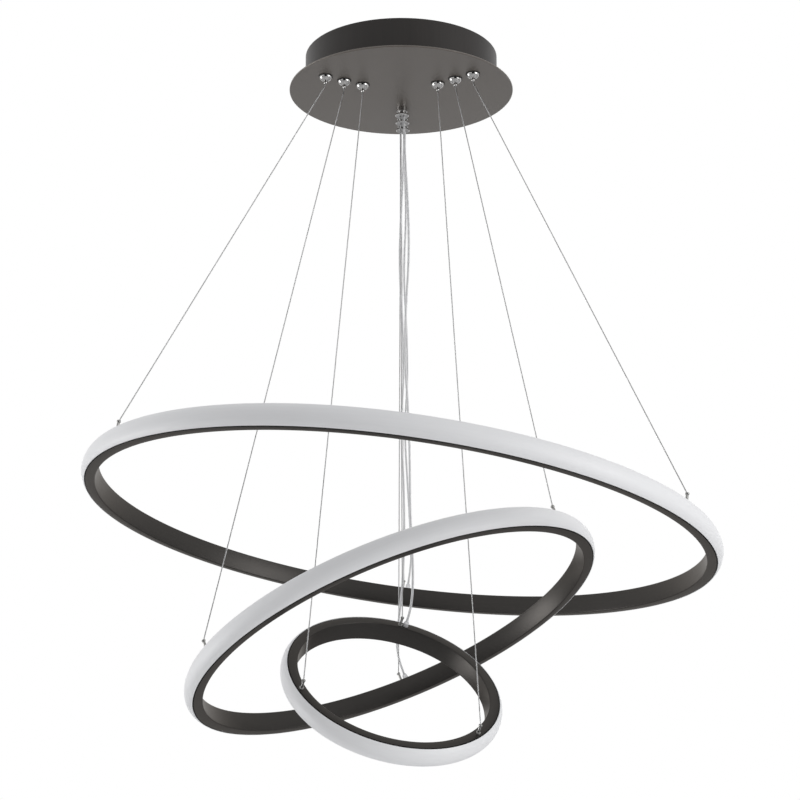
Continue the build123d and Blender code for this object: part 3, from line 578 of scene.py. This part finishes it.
# ---------------------------------------------------------------- power cords
# A clear cord for each ring: two twisted tinned cores in a soft transparent sheath. It leaves the
# driver's wall through a bushing, turns down through the back grip and ends in the ring's gland.
CORD_DIAMETER = 0.0025
SHEATH_STEP, SHEATH_SIDES = 0.0025, 14
CORE_RADIUS = 0.00043
CORE_LAY = 0.016
CORE_STEP, CORE_SIDES = 0.0016, 7
STRAIGHT = 1e6                # a lay so long that what is laid doesn't turn
CORD_ROUTES = {
    "large": [
        (-0.0018, 0.0115, -0.0147), (-0.0018, 0.033, -0.0147), (-0.0026, 0.0535, -0.0147),
        (0.0038, 0.082, -0.0147), (0.0038, 0.082, -0.055), (0.0041, 0.0889, -0.0931),
        (0.0056, 0.1058, -0.1351), (0.0025, 0.1292, -0.1872), (0.0057, 0.1542, -0.2412),
        (0.0074, 0.1791, -0.2953), (0.0037, 0.2051, -0.3473), (0.0068, 0.231, -0.3974),
        (0.0093, 0.2543, -0.4314), (0.0106, 0.2725, -0.4536), (0.0115, 0.2846, -0.4701),
        (0.0114, 0.2906, -0.4831), (0.0096, 0.292, -0.499), (0.0082, 0.2907, -0.5089)],
    "medium": [
        (0.0074, 0.0115, -0.0147), (0.0074, 0.033, -0.0147), (0.0033, 0.061, -0.0147),
        (0.0033, 0.061, -0.055), (0.0023, 0.065, -0.093), (-0.0001, 0.0739, -0.141),
        (-0.002, 0.0849, -0.1951), (0.0014, 0.0999, -0.2491), (0.0032, 0.1128, -0.3031),
        (-0.0005, 0.1283, -0.3572), (0.0025, 0.1418, -0.4112), (0.0036, 0.1573, -0.4652),
        (0.002, 0.1742, -0.5132), (-0.0009, 0.1875, -0.5452), (-0.0037, 0.1959, -0.5658),
        (-0.0047, 0.2001, -0.5818), (-0.0035, 0.2015, -0.5938), (-0.0004, 0.2001, -0.6054),
        (0.0032, 0.1976, -0.6144)],
    "small": [
        (0.0028, 0.0115, -0.0147), (0.0028, 0.04, -0.0147), (0.0028, 0.04, -0.055),
        (0.0041, 0.041, -0.093), (0.0072, 0.0454, -0.1429), (0.0083, 0.0469, -0.1969),
        (0.0046, 0.0514, -0.2508), (0.0035, 0.0529, -0.3048), (0.0073, 0.0549, -0.3587),
        (0.0088, 0.0539, -0.4127), (0.0089, 0.0558, -0.4627), (0.0112, 0.0567, -0.5006),
        (0.0117, 0.0594, -0.5236), (0.0114, 0.0622, -0.5396), (0.01, 0.0656, -0.5521),
        (0.0082, 0.0685, -0.5608), (0.0057, 0.0743, -0.5686)],
}

clear = Finish("clear sheath", (0.88, 0.88, 0.89), 0.2, IOR=1.5)
clear_haze = clear.grain(420.0, 2.0)
clear_edge = clear.add("ShaderNodeLayerWeight", inputs={"Blend": 0.35}, output="Facing")
clear.use("Alpha", 0.46 + 0.42 * clear_edge + 0.10 * clear_haze)
clear.use("Roughness", 0.10 + 0.14 * clear_haze)

tinned = Finish("tinned core", (0.50, 0.50, 0.50), 0.36, metallic=0.85)
tinned_wear = tinned.grain(3000.0, 2.0)
tinned.coloured(tinned_wear, (0.42, 0.42, 0.425), (0.58, 0.58, 0.58))
tinned.use("Roughness", 0.30 + 0.15 * tinned_wear)

core_offset = CORE_RADIUS * 1.1
sheath_section = bundle("sheath section", CORD_DIAMETER / 2, [(0.0, 0.0)], SHEATH_SIDES)
core_section = bundle("core section", CORE_RADIUS, [(-core_offset, 0.0), (core_offset, 0.0)], CORE_SIDES)
for ring in RINGS:
    name = f"{ring}_power_cord"
    route = [Vector(p) for p in CORD_ROUTES[ring]]
    centreline = route_curve(name + ".line", route)
    path, length = walked(centreline)
    bend = Vector((route[0].x, middle(f"{ring}_back_release").y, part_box(f"{ring}_back_release")[0].z))
    sheath_mesh = laid.made(name, centreline, Section=sheath_section, Step=SHEATH_STEP, Lay=STRAIGHT,
                            Finish=clear.material)
    sheath = placed(name + ".sheath", sheath_mesh, clear, "canopy")
    core_mesh = laid.made(name + ".cores", centreline, Section=core_section, Step=CORE_STEP, Lay=CORE_LAY,
                          Finish=tinned.material)
    cores = placed(name + ".cores", core_mesh, tinned, "canopy")
    bpy.data.objects.remove(centreline)
    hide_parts(name)
    for piece in (sheath, cores):
        hoisted(piece, ring, "back", bend)
bpy.data.objects.remove(sheath_section)
bpy.data.objects.remove(core_section)

# ---------------------------------------------------------------- mains leads
# Two short insulated leads, one blue and one brown, from the outer ways of the terminal block to
# the driver's front wall.
LEAD_DIAMETER = 0.0022
LEAD_STEP, LEAD_SIDES = 0.0012, 16
RIGHT_LEAD = [(0.010667, -0.044, -0.03065), (0.010667, -0.03729, -0.03065), (0.012267, -0.02875, -0.03065),
              (0.010667, -0.02021, -0.03065), (0.010667, -0.0135, -0.03065)]
LEAD_ROUTES = {"left": [(-x, y, z) for x, y, z in RIGHT_LEAD], "right": RIGHT_LEAD}
LEAD_COLOURS = {"left": ((0.010, 0.030, 0.20), (0.014, 0.045, 0.27)),
                "right": ((0.040, 0.016, 0.007), (0.060, 0.024, 0.010))}
lead_section = bundle("lead section", LEAD_DIAMETER / 2, [(0.0, 0.0)], LEAD_SIDES)
for side, route in LEAD_ROUTES.items():
    insulation = Finish(side + " lead insulation", LEAD_COLOURS[side][0], 0.32)
    insulation_rub = insulation.grain(900.0, 3.0)
    insulation.coloured(insulation_rub, *LEAD_COLOURS[side])
    insulation.use("Roughness", 0.26 + 0.16 * insulation_rub)
    name = side + "_mains_lead"
    centreline = route_curve(name + ".line", route)
    path, length = walked(centreline)
    lead_mesh = laid.made(name, centreline, Section=lead_section, Step=LEAD_STEP, Lay=STRAIGHT,
                          Finish=insulation.material)
    lead = placed(name, lead_mesh, insulation, "canopy")
    bpy.data.objects.remove(centreline)
    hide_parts("mains_leads")
bpy.data.objects.remove(lead_section)

# ---------------------------------------------------------------- driver bushings
# Bushings of soft black rubber in the driver's walls, one round each power cord and each mains
# lead, with a collar at the wall and a taper outside it.
BUSHING_COLLAR = 0.00205
BUSHING_START, BUSHING_END = -0.0008, 0.0018
BUSHING_STEPS = 20
bushing_outline = [(CORD_DIAMETER / 2, BUSHING_START), (BUSHING_COLLAR, BUSHING_START),
                   (BUSHING_COLLAR, 0.0005), (0.0019, 0.0008), (0.0016, 0.0016), (0.0014, BUSHING_END),
                   (CORD_DIAMETER / 2, BUSHING_END)]
stood("cord_bushings", lathe("bushing", bushing_outline, BUSHING_STEPS),
      [CORD_ROUTES[ring][0] for ring in RINGS], rubber, "canopy", (-math.pi / 2, 0.0, 0.0))
stood("lead_bushings", lathe("bushing", bushing_outline, BUSHING_STEPS),
      [route[-1] for route in LEAD_ROUTES.values()], rubber, "canopy", (math.pi / 2, 0.0, 0.0))

# ---------------------------------------------------------------- ring channels
# Each ring's body is an aluminium channel rolled to a circle, open outwards, with grooves for the
# diffuser and ribs for the light strip. It is anodised a dark bronze grey over its drawing lines.
RING_RADII = {"large": 0.299, "medium": 0.2, "small": 0.1}
LEAST_STEPS, STEPS_PER_METRE = 96, 640   # steps round a ring, which grow with its radius
SECTION_HALF = 0.0100
WEB_INSIDE, RIM = -0.0065, 0.0035        # from the ring's path, inwards and outwards
CHANNEL_WALL = 0.0014
GROOVE_IN, GROOVE_OUT, SNAP_DEPTH = 0.0014, 0.0026, 0.0005
RIB_LOW, RIB_HIGH, RIB_DEPTH = 0.0051, 0.0058, 0.0012
GAP_WIDTH, GAP_DEPTH = 0.0011, 0.0008    # step along each rim, painted dark as shade: a fine dark line beside the diffuser
SHADE_SPREAD_IN, SHADE_SPREAD_DOWN = 0.00002, 0.0002    # how far its painted shade laps over
BROKEN_EDGE, RIM_EDGE, FLOOR_CORNER, BACK_EDGE = 0.0001, 0.00015, 0.0003, 0.001    # corner radii


def ring_pose(ring):
    """Where a ring hangs: its middle, and the turn that leans its axis from upright."""
    left, right, back = (middle(f"{ring}_{side}_end_ball") for side in SIDES)
    axis = (right - left).cross(back - left).normalized()
    return middle(f"{ring}_led_strip"), tuple(Vector((0.0, 0.0, 1.0)).rotation_difference(axis).to_euler())


def section(name, points):
    """A ring's closed section from (outwards, upwards, corner radius) points."""
    curve = bpy.data.curves.new(name, "CURVE")
    curve.dimensions = "2D"
    spline = curve.splines.new("POLY")
    spline.points.add(len(points) - 1)
    for point, (out, up, corner) in zip(spline.points, points):
        point.co = (out, -up, 0.0, 1.0)
        point.radius = corner
    spline.use_cyclic_u = True
    return template(name, curve)


def flipped(points):
    """The same points of a section below its middle, in the order that goes on round it."""
    return [(out, -up, corner) for out, up, corner in reversed(points)]


rolled = Recipe("a section rolled to a ring", Section=bpy.types.Object, Radius=float, Steps=int,
                Middle=Vector, Lean=Vector, Finish=bpy.types.Material)
rolled_corner = rolled.add("GeometryNodeInputRadius")
rolled_section = rolled.add("GeometryNodeFilletCurve", {"mode": "POLY"}, {
    "Curve": rolled.shape_of("Section"), "Count": 4, "Radius": rolled_corner, "Limit Radius": True})
rolled_path = rolled.add("GeometryNodeCurvePrimitiveCircle", inputs={
    "Resolution": rolled.input("Steps"), "Radius": rolled.input("Radius")})
rolled_body = rolled.add("GeometryNodeCurveToMesh", inputs={
    "Curve": rolled_path, "Profile Curve": rolled_section})
rolled_body = rolled.add("GeometryNodeTransform", inputs={
    "Geometry": rolled_body, "Translation": rolled.input("Middle"), "Rotation": rolled.input("Lean")})
rolled.ends_in(rolled_body, corner=30.0)


def roll(name, ring, shape, finish):
    """A section rolled to the ring's circle and leaned as the ring hangs, facing outwards."""
    source = spots(name + ".start", [(0.0, 0.0, 0.0)])
    centre, lean = ring_pose(ring)
    radius = RING_RADII[ring]
    steps = int(LEAST_STEPS + STEPS_PER_METRE * radius)
    mesh = rolled.made(name, source, Section=shape, Radius=radius, Steps=steps, Middle=centre, Lean=lean,
                       Finish=finish.material)
    bpy.data.objects.remove(source)
    shell = bmesh.new()
    shell.from_mesh(mesh)
    bmesh.ops.recalc_face_normals(shell, faces=shell.faces)
    shell.to_mesh(mesh)
    shell.free()
    return mesh


def on_ring(finish, ring):
    """A place on a leaned ring as distance from its axis, height along it, and turns round it."""
    centre, lean = ring_pose(ring)
    flat = finish.add("ShaderNodeMapping", {"vector_type": "TEXTURE"}, {
        "Vector": finish.place, "Location": centre, "Rotation": lean})
    x, y, up = finish.parts(flat)
    return (x * x + y * y) ** 0.5, up, y.worked("ARCTAN2", x) / (2 * math.pi)


flange_face = SECTION_HALF - CHANNEL_WALL     # the flanges' inner faces
web_face = WEB_INSIDE + CHANNEL_WALL          # the web's outer face
half_channel = [(RIM - GAP_WIDTH, SECTION_HALF, RIM_EDGE), (RIM - GAP_WIDTH, SECTION_HALF - GAP_DEPTH, 0.0),
                (RIM, SECTION_HALF - GAP_DEPTH, BROKEN_EDGE), (RIM, flange_face, BROKEN_EDGE),
                (GROOVE_OUT, flange_face, BROKEN_EDGE), (GROOVE_OUT, flange_face + SNAP_DEPTH, 0.0),
                (GROOVE_IN, flange_face + SNAP_DEPTH, 0.0), (GROOVE_IN, flange_face, BROKEN_EDGE),
                (web_face, flange_face, FLOOR_CORNER), (web_face, RIB_HIGH, BROKEN_EDGE),
                (web_face + RIB_DEPTH, RIB_HIGH, BROKEN_EDGE), (web_face + RIB_DEPTH, RIB_LOW, BROKEN_EDGE),
                (web_face, RIB_LOW, BROKEN_EDGE)]
channel_back = [(WEB_INSIDE, -SECTION_HALF, BACK_EDGE), (WEB_INSIDE, SECTION_HALF, BACK_EDGE)]
channel_section = section("channel section", half_channel + flipped(half_channel) + channel_back)
for ring in RINGS:
    anodised = Finish(f"{ring} bronze-grey anodising", (0.040, 0.0380, 0.0363), 0.34, metallic=0.9,
                      Specular_Tint=(0.76, 0.73, 0.70, 1.0))
    out, up, turns = on_ring(anodised, ring)
    drawn = anodised.grain(1.0, 3.0, anodised.vector(out * 2600.0, up * 2600.0, turns * 60.0), 0.6)
    mottle = anodised.grain(30.0, 2.0)
    # Painted shade: the rim step beside the diffuser is coloured near-black, rougher and not metallic, so
    # that it reads as a shadow line.
    rim_shade_band = out > RING_RADII[ring] + RIM - GAP_WIDTH - SHADE_SPREAD_IN
    gap_painted_shade = rim_shade_band * (abs(up) > SECTION_HALF - GAP_DEPTH - SHADE_SPREAD_DOWN)
    drawn_colour = anodised.tint(drawn, (0.034, 0.0320, 0.0302), (0.050, 0.0472, 0.0447))
    anodised.coloured(gap_painted_shade, drawn_colour, (0.006, 0.006, 0.006))
    anodised.use("Roughness", 0.27 + 0.12 * drawn + 0.06 * mottle + 0.45 * gap_painted_shade)
    anodised.use("Metallic", 0.9 - 0.9 * gap_painted_shade)
    anodised.relief(drawn, 0.000012)
    channel_mesh = roll(f"{ring}_channel", ring, channel_section, anodised)
    channel = placed(f"{ring}_channel", channel_mesh, anodised, f"{ring}_ring")
    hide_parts(f"{ring}_ring_channel")
    dress(zinc, "zinc_steel", f"{ring}_splice_bar")
bpy.data.objects.remove(channel_section)

# ---------------------------------------------------------------- light strips
# A white flexible circuit band is stuck to the channel's web between its ribs, with a light chip
# about every 8.3 mm that faces outwards, and a pair of copper pads about every 25 mm.
CHIP_PITCH = 0.0083
CHIP_HALF_LENGTH, CHIP_HALF_WIDTH, CHIP_HEIGHT = 0.00175, 0.0014, 0.0007
CHIP_WINDOW = CHIP_HEIGHT - 0.00012     # the sunk window of phosphor
STRIP_FACE = WEB_INSIDE + CHANNEL_WALL + 0.0009
PAD_PITCH = 0.025
PAD_HALF_SHARE = 0.045                  # half a pad's length as a share of the pitch
PAD_MIDDLE, PAD_HALF_HEIGHT = 0.0028, 0.0011
chip_corners = [(-1, -1), (1, -1), (1, 1), (-1, 1)]
chip_levels = [(0.0, 0.94), (CHIP_HEIGHT, 1.0), (CHIP_HEIGHT, 0.8), (CHIP_WINDOW, 0.76)]
chip_shape = bmesh.new()
chip_rows = [[chip_shape.verts.new((out, along * CHIP_HALF_LENGTH * share, up * CHIP_HALF_WIDTH * share))
              for along, up in chip_corners] for out, share in chip_levels]
for low, high in zip(chip_rows, chip_rows[1:]):
    wall(chip_shape, low, high)
chip_shape.faces.new(chip_rows[0])
chip_shape.faces.new(chip_rows[-1])
bmesh.ops.recalc_face_normals(chip_shape, faces=chip_shape.faces)
chip_mesh = finished_mesh("light chip", chip_shape)
chip_glow = chip_mesh.attributes.new("phosphor", "FLOAT", "FACE")
for face in chip_mesh.polygons:
    at_window = [abs(chip_mesh.vertices[v].co.x - CHIP_WINDOW) < 1e-6 for v in face.vertices]
    chip_glow.data[face.index].value = float(all(at_window))

chipped = Recipe("light chips round a ring", Chip=bpy.types.Object, Radius=float, Count=int, Middle=Vector,
                 Lean=Vector, Finish=bpy.types.Material)
chipped_path = chipped.add("GeometryNodeCurvePrimitiveCircle", inputs={
    "Resolution": chipped.input("Count"), "Radius": chipped.input("Radius")})
chipped_points = chipped.add("GeometryNodeCurveToPoints", {"mode": "EVALUATED"}, {"Curve": chipped_path})
chipped_x, chipped_y, _ = chipped.parts(chipped.add("GeometryNodeInputPosition"))
chipped_turn = chipped.vector(0.0, 0.0, chipped_y.worked("ARCTAN2", chipped_x))
chipped_all = chipped.add("GeometryNodeInstanceOnPoints", inputs={
    "Points": chipped_points, "Instance": chipped.shape_of("Chip"), "Rotation": chipped_turn})
chipped_all = chipped.add("GeometryNodeTransform", inputs={
    "Geometry": chipped_all, "Translation": chipped.input("Middle"), "Rotation": chipped.input("Lean")})
chipped.ends_in(chipped_all, corner=20.0)

chip_finish = Finish("chip housing and phosphor", (0.80, 0.80, 0.78), 0.4)
chip_yellow = chip_finish.add("ShaderNodeAttribute", {"attribute_name": "phosphor"}, output="Fac")
chip_housing = chip_finish.tint(chip_finish.grain(900.0), (0.74, 0.74, 0.72), (0.84, 0.84, 0.82))
chip_finish.coloured(chip_yellow, chip_housing, (0.78, 0.55, 0.08))
chip_template = template("light chip", chip_mesh)
for ring in RINGS:
    band = Finish(f"{ring} circuit band", (0.82, 0.82, 0.79), 0.38)
    out, up, turns = on_ring(band, ring)
    pads_passed = turns * round(2 * math.pi * RING_RADII[ring] / PAD_PITCH)
    beside_pad = abs(pads_passed.worked("FRACT") - 0.5)
    pad = (beside_pad < PAD_HALF_SHARE) * (abs(abs(up) - PAD_MIDDLE) < PAD_HALF_HEIGHT)
    band_weave = band.grain(1600.0, 3.0)
    band_white = band.tint(band_weave, (0.78, 0.78, 0.75), (0.86, 0.86, 0.83))
    band.coloured(pad, band_white, (0.62, 0.36, 0.17))
    band.use("Roughness", 0.30 + 0.16 * band_weave)
    band.use("Metallic", pad * 0.9)
    dress(band, "strip_board", f"{ring}_led_strip")
    centre, lean = ring_pose(ring)
    radius = RING_RADII[ring] + STRIP_FACE
    chip_count = 3 * round(2 * math.pi * radius / CHIP_PITCH / 3)
    source = spots(f"{ring}_chips.start", [(0.0, 0.0, 0.0)])
    chips = chipped.made(f"{ring}_light_chips", source, Chip=chip_template, Radius=radius, Count=chip_count,
                         Middle=centre, Lean=lean, Finish=chip_finish.material)
    bpy.data.objects.remove(source)
    placed(f"{ring}_light_chips", chips, chip_finish, f"{ring}_ring")
bpy.data.objects.remove(chip_template)

# ---------------------------------------------------------------- diffusers
# The light cover is an extrusion of satin white plastic, domed outwards, which snaps into the
# channel's grooves with two barbed legs.
HEEL, CROWN = RIM + 0.00015, 0.008
DIFFUSER_WALL = 0.0015
COVER_EDGE = SECTION_HALF - 0.0001
COVER_ROUNDING = 0.00015
LEG = SECTION_HALF - CHANNEL_WALL - 0.0001
LEG_INSIDE = LEG - DIFFUSER_WALL * 0.7
LEG_TIP = RIM - 0.002
BARB_START, BARB_PEAK = LEG_TIP + 0.001, LEG_TIP + 0.0006
OUTER_STEPS, INNER_STEPS = 20, 12


def bow(out, edge, crown, steps):
    """Points of an arc from the lower edge out to the crown and back to the upper edge."""
    rise = crown - out
    radius = (edge ** 2 + rise ** 2) / (2 * rise)
    reach = math.asin(edge / radius)
    return [(crown - radius + radius * math.cos(a), radius * math.sin(a), 0.0)
            for a in (-reach + 2 * reach * k / steps for k in range(steps + 1))]


barbed_leg = [(HEEL, LEG, 0.0), (BARB_START, LEG, 0.0), (BARB_PEAK, LEG + SNAP_DEPTH - 0.0001, 0.0001),
              (LEG_TIP, LEG, 0.0), (LEG_TIP, LEG_INSIDE, 0.0002)]
cover_outside = bow(HEEL, COVER_EDGE, CROWN, OUTER_STEPS)
cover_outside[0] = (HEEL, -COVER_EDGE, COVER_ROUNDING)
cover_outside[-1] = (HEEL, COVER_EDGE, COVER_ROUNDING)
cover_inside = bow(HEEL + 0.0002, LEG_INSIDE, CROWN - DIFFUSER_WALL, INNER_STEPS)
cover_points = cover_outside + barbed_leg + cover_inside[::-1] + flipped(barbed_leg)
cover_section = section("cover section", cover_points)
for ring in RINGS:
    satin = Finish(f"{ring} satin cover", (0.79, 0.79, 0.80), 0.5)
    out, up, turns = on_ring(satin, ring)
    flow = satin.grain(1.0, 2.0, satin.vector(out * 500.0, up * 500.0, turns * 40.0))
    frost = satin.grain(4500.0, 2.0)
    satin.coloured(flow, (0.77, 0.77, 0.78), (0.805, 0.805, 0.812))
    satin.use("Roughness", 0.46 + 0.10 * frost)
    satin.relief(frost, 0.000012)
    cover_mesh = roll(f"{ring}_cover", ring, cover_section, satin)
    cover = placed(f"{ring}_cover", cover_mesh, satin, f"{ring}_ring")
    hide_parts(f"{ring}_diffuser")
bpy.data.objects.remove(cover_section)

# ---------------------------------------------------------------- terminals, end balls and glands
# Slim nickel-plated studs stand on each ring's top flange and hold the wires' swaged balls in
# sockets. The power cord goes into a clear moulded gland beside the back stud.
nickel = Finish("satin nickel", (0.26, 0.258, 0.252), 0.26, metallic=1.0)
nickel_turn = nickel.grain(2400.0, 3.0)
nickel.coloured(nickel_turn, (0.22, 0.218, 0.212), (0.32, 0.318, 0.31))
nickel.use("Roughness", 0.18 + 0.18 * nickel_turn)
gland_clear = Finish("clear moulding", (0.76, 0.76, 0.775), 0.2, IOR=1.5)
gland_haze = gland_clear.grain(700.0, 2.0)
gland_edge = gland_clear.add("ShaderNodeLayerWeight", inputs={"Blend": 0.4}, output="Facing")
gland_clear.use("Alpha", 0.45 + 0.45 * gland_edge + 0.08 * gland_haze)
gland_clear.use("Roughness", 0.14 + 0.16 * gland_haze)
for ring in RINGS:
    dress(nickel, "nickel_steel", f"{ring}_wire_terminals", *[f"{ring}_{side}_end_ball" for side in SIDES])
    dress(gland_clear, "clear_gland", f"{ring}_cord_gland")

# ---------------------------------------------------------------- studio
# A pale floor well below the rings, white surroundings and broad soft lamps on both sides, so that
# the satin covers fade towards their front. Lower cards show in the anodised faces, and a dark
# screen behind the camera gives the chrome its dark middles.
FLOOR_REACH, FLOOR_DROP = 6.0, 2.1
SCREEN_REACH, SCREEN_BACK, SCREEN_LOW, SCREEN_HIGH = 1.3, -3.2, -2.05, 0.2
RINGS_MIDDLE, CANOPY_MIDDLE = (0.0, 0.0, -0.5), (0.0, 0.0, -0.04)


def sheet(name, corners, finish):
    """One flat four-cornered face of the studio."""
    mesh = bpy.data.meshes.new(name)
    mesh.from_pydata(corners, [], [(0, 1, 2, 3)])
    mesh.materials.append(finish.material)
    return added(name, mesh)


def softbox(name, place, aim, width, height, watts):
    """A flat rectangular lamp that faces what it aims at."""
    lamp = bpy.data.lights.new(name, "AREA")
    lamp.shape = "RECTANGLE"
    lamp.size = width
    lamp.size_y = height
    lamp.energy = watts
    piece = added(name, lamp)
    piece.location = place
    piece.rotation_euler = (Vector(aim) - Vector(place)).to_track_quat("-Z", "Y").to_euler()
    return piece


floor_corners = [(x * FLOOR_REACH, y * FLOOR_REACH, -FLOOR_DROP)
                 for x, y in ((-1, -1), (1, -1), (1, 1), (-1, 1))]
floor = sheet("floor", floor_corners, Finish("pale floor", (0.86, 0.86, 0.86), 0.8))

world = bpy.data.worlds.new("white surroundings")
world.use_nodes = True
bpy.context.scene.world = world
room = NodeTree(world.node_tree)
world.node_tree.nodes.clear()
rays = [room.add("ShaderNodeLightPath", output=f"Is {kind} Ray")
        for kind in ("Camera", "Glossy", "Transmission")]
seen = (rays[0] + rays[1] + rays[2]).worked("MINIMUM", 1.0)
bright = room.add("ShaderNodeBackground", inputs={"Color": (1.0, 1.0, 1.0, 1.0), "Strength": 1.0})
ambient = room.add("ShaderNodeBackground", inputs={"Color": (0.97, 0.98, 1.0, 1.0), "Strength": 0.46})
shown = room.add("ShaderNodeMixShader", inputs={0: seen, 1: ambient, 2: bright})
room.tree.links.new(shown.socket, room.tree.nodes.new("ShaderNodeOutputWorld").inputs["Surface"])

softbox("key", (2.3, -1.45, 0.2), RINGS_MIDDLE, 1.4, 1.4, 38.0).visible_glossy = False
softbox("second", (-2.6, 0.5, 0.45), RINGS_MIDDLE, 1.2, 1.4, 34.0).visible_glossy = False
softbox("right card", (2.3, -1.45, -0.45), RINGS_MIDDLE, 1.4, 1.5, 26.0).visible_diffuse = False
softbox("left card", (-2.6, 0.4, -1.1), RINGS_MIDDLE, 1.2, 1.1, 24.0).visible_diffuse = False
softbox("back rim", (0.6, 2.6, 0.6), RINGS_MIDDLE, 1.6, 1.0, 18.0).visible_glossy = False
softbox("from below", (-0.3, -0.6, -2.0), CANOPY_MIDDLE, 1.2, 1.2, 3.0).visible_glossy = False

screen_corners = [(-SCREEN_REACH, SCREEN_BACK, SCREEN_LOW), (SCREEN_REACH, SCREEN_BACK, SCREEN_LOW),
                  (SCREEN_REACH, SCREEN_BACK, SCREEN_HIGH), (-SCREEN_REACH, SCREEN_BACK, SCREEN_HIGH)]
screen_cloth = Finish("black screen cloth", (0.012, 0.012, 0.012), 0.9, Specular_IOR_Level=0.0)
screen = sheet("dark screen", screen_corners, screen_cloth)
screen.visible_camera = screen.visible_diffuse = screen.visible_shadow = False
bpy.context.scene.view_settings.view_transform = "Standard"
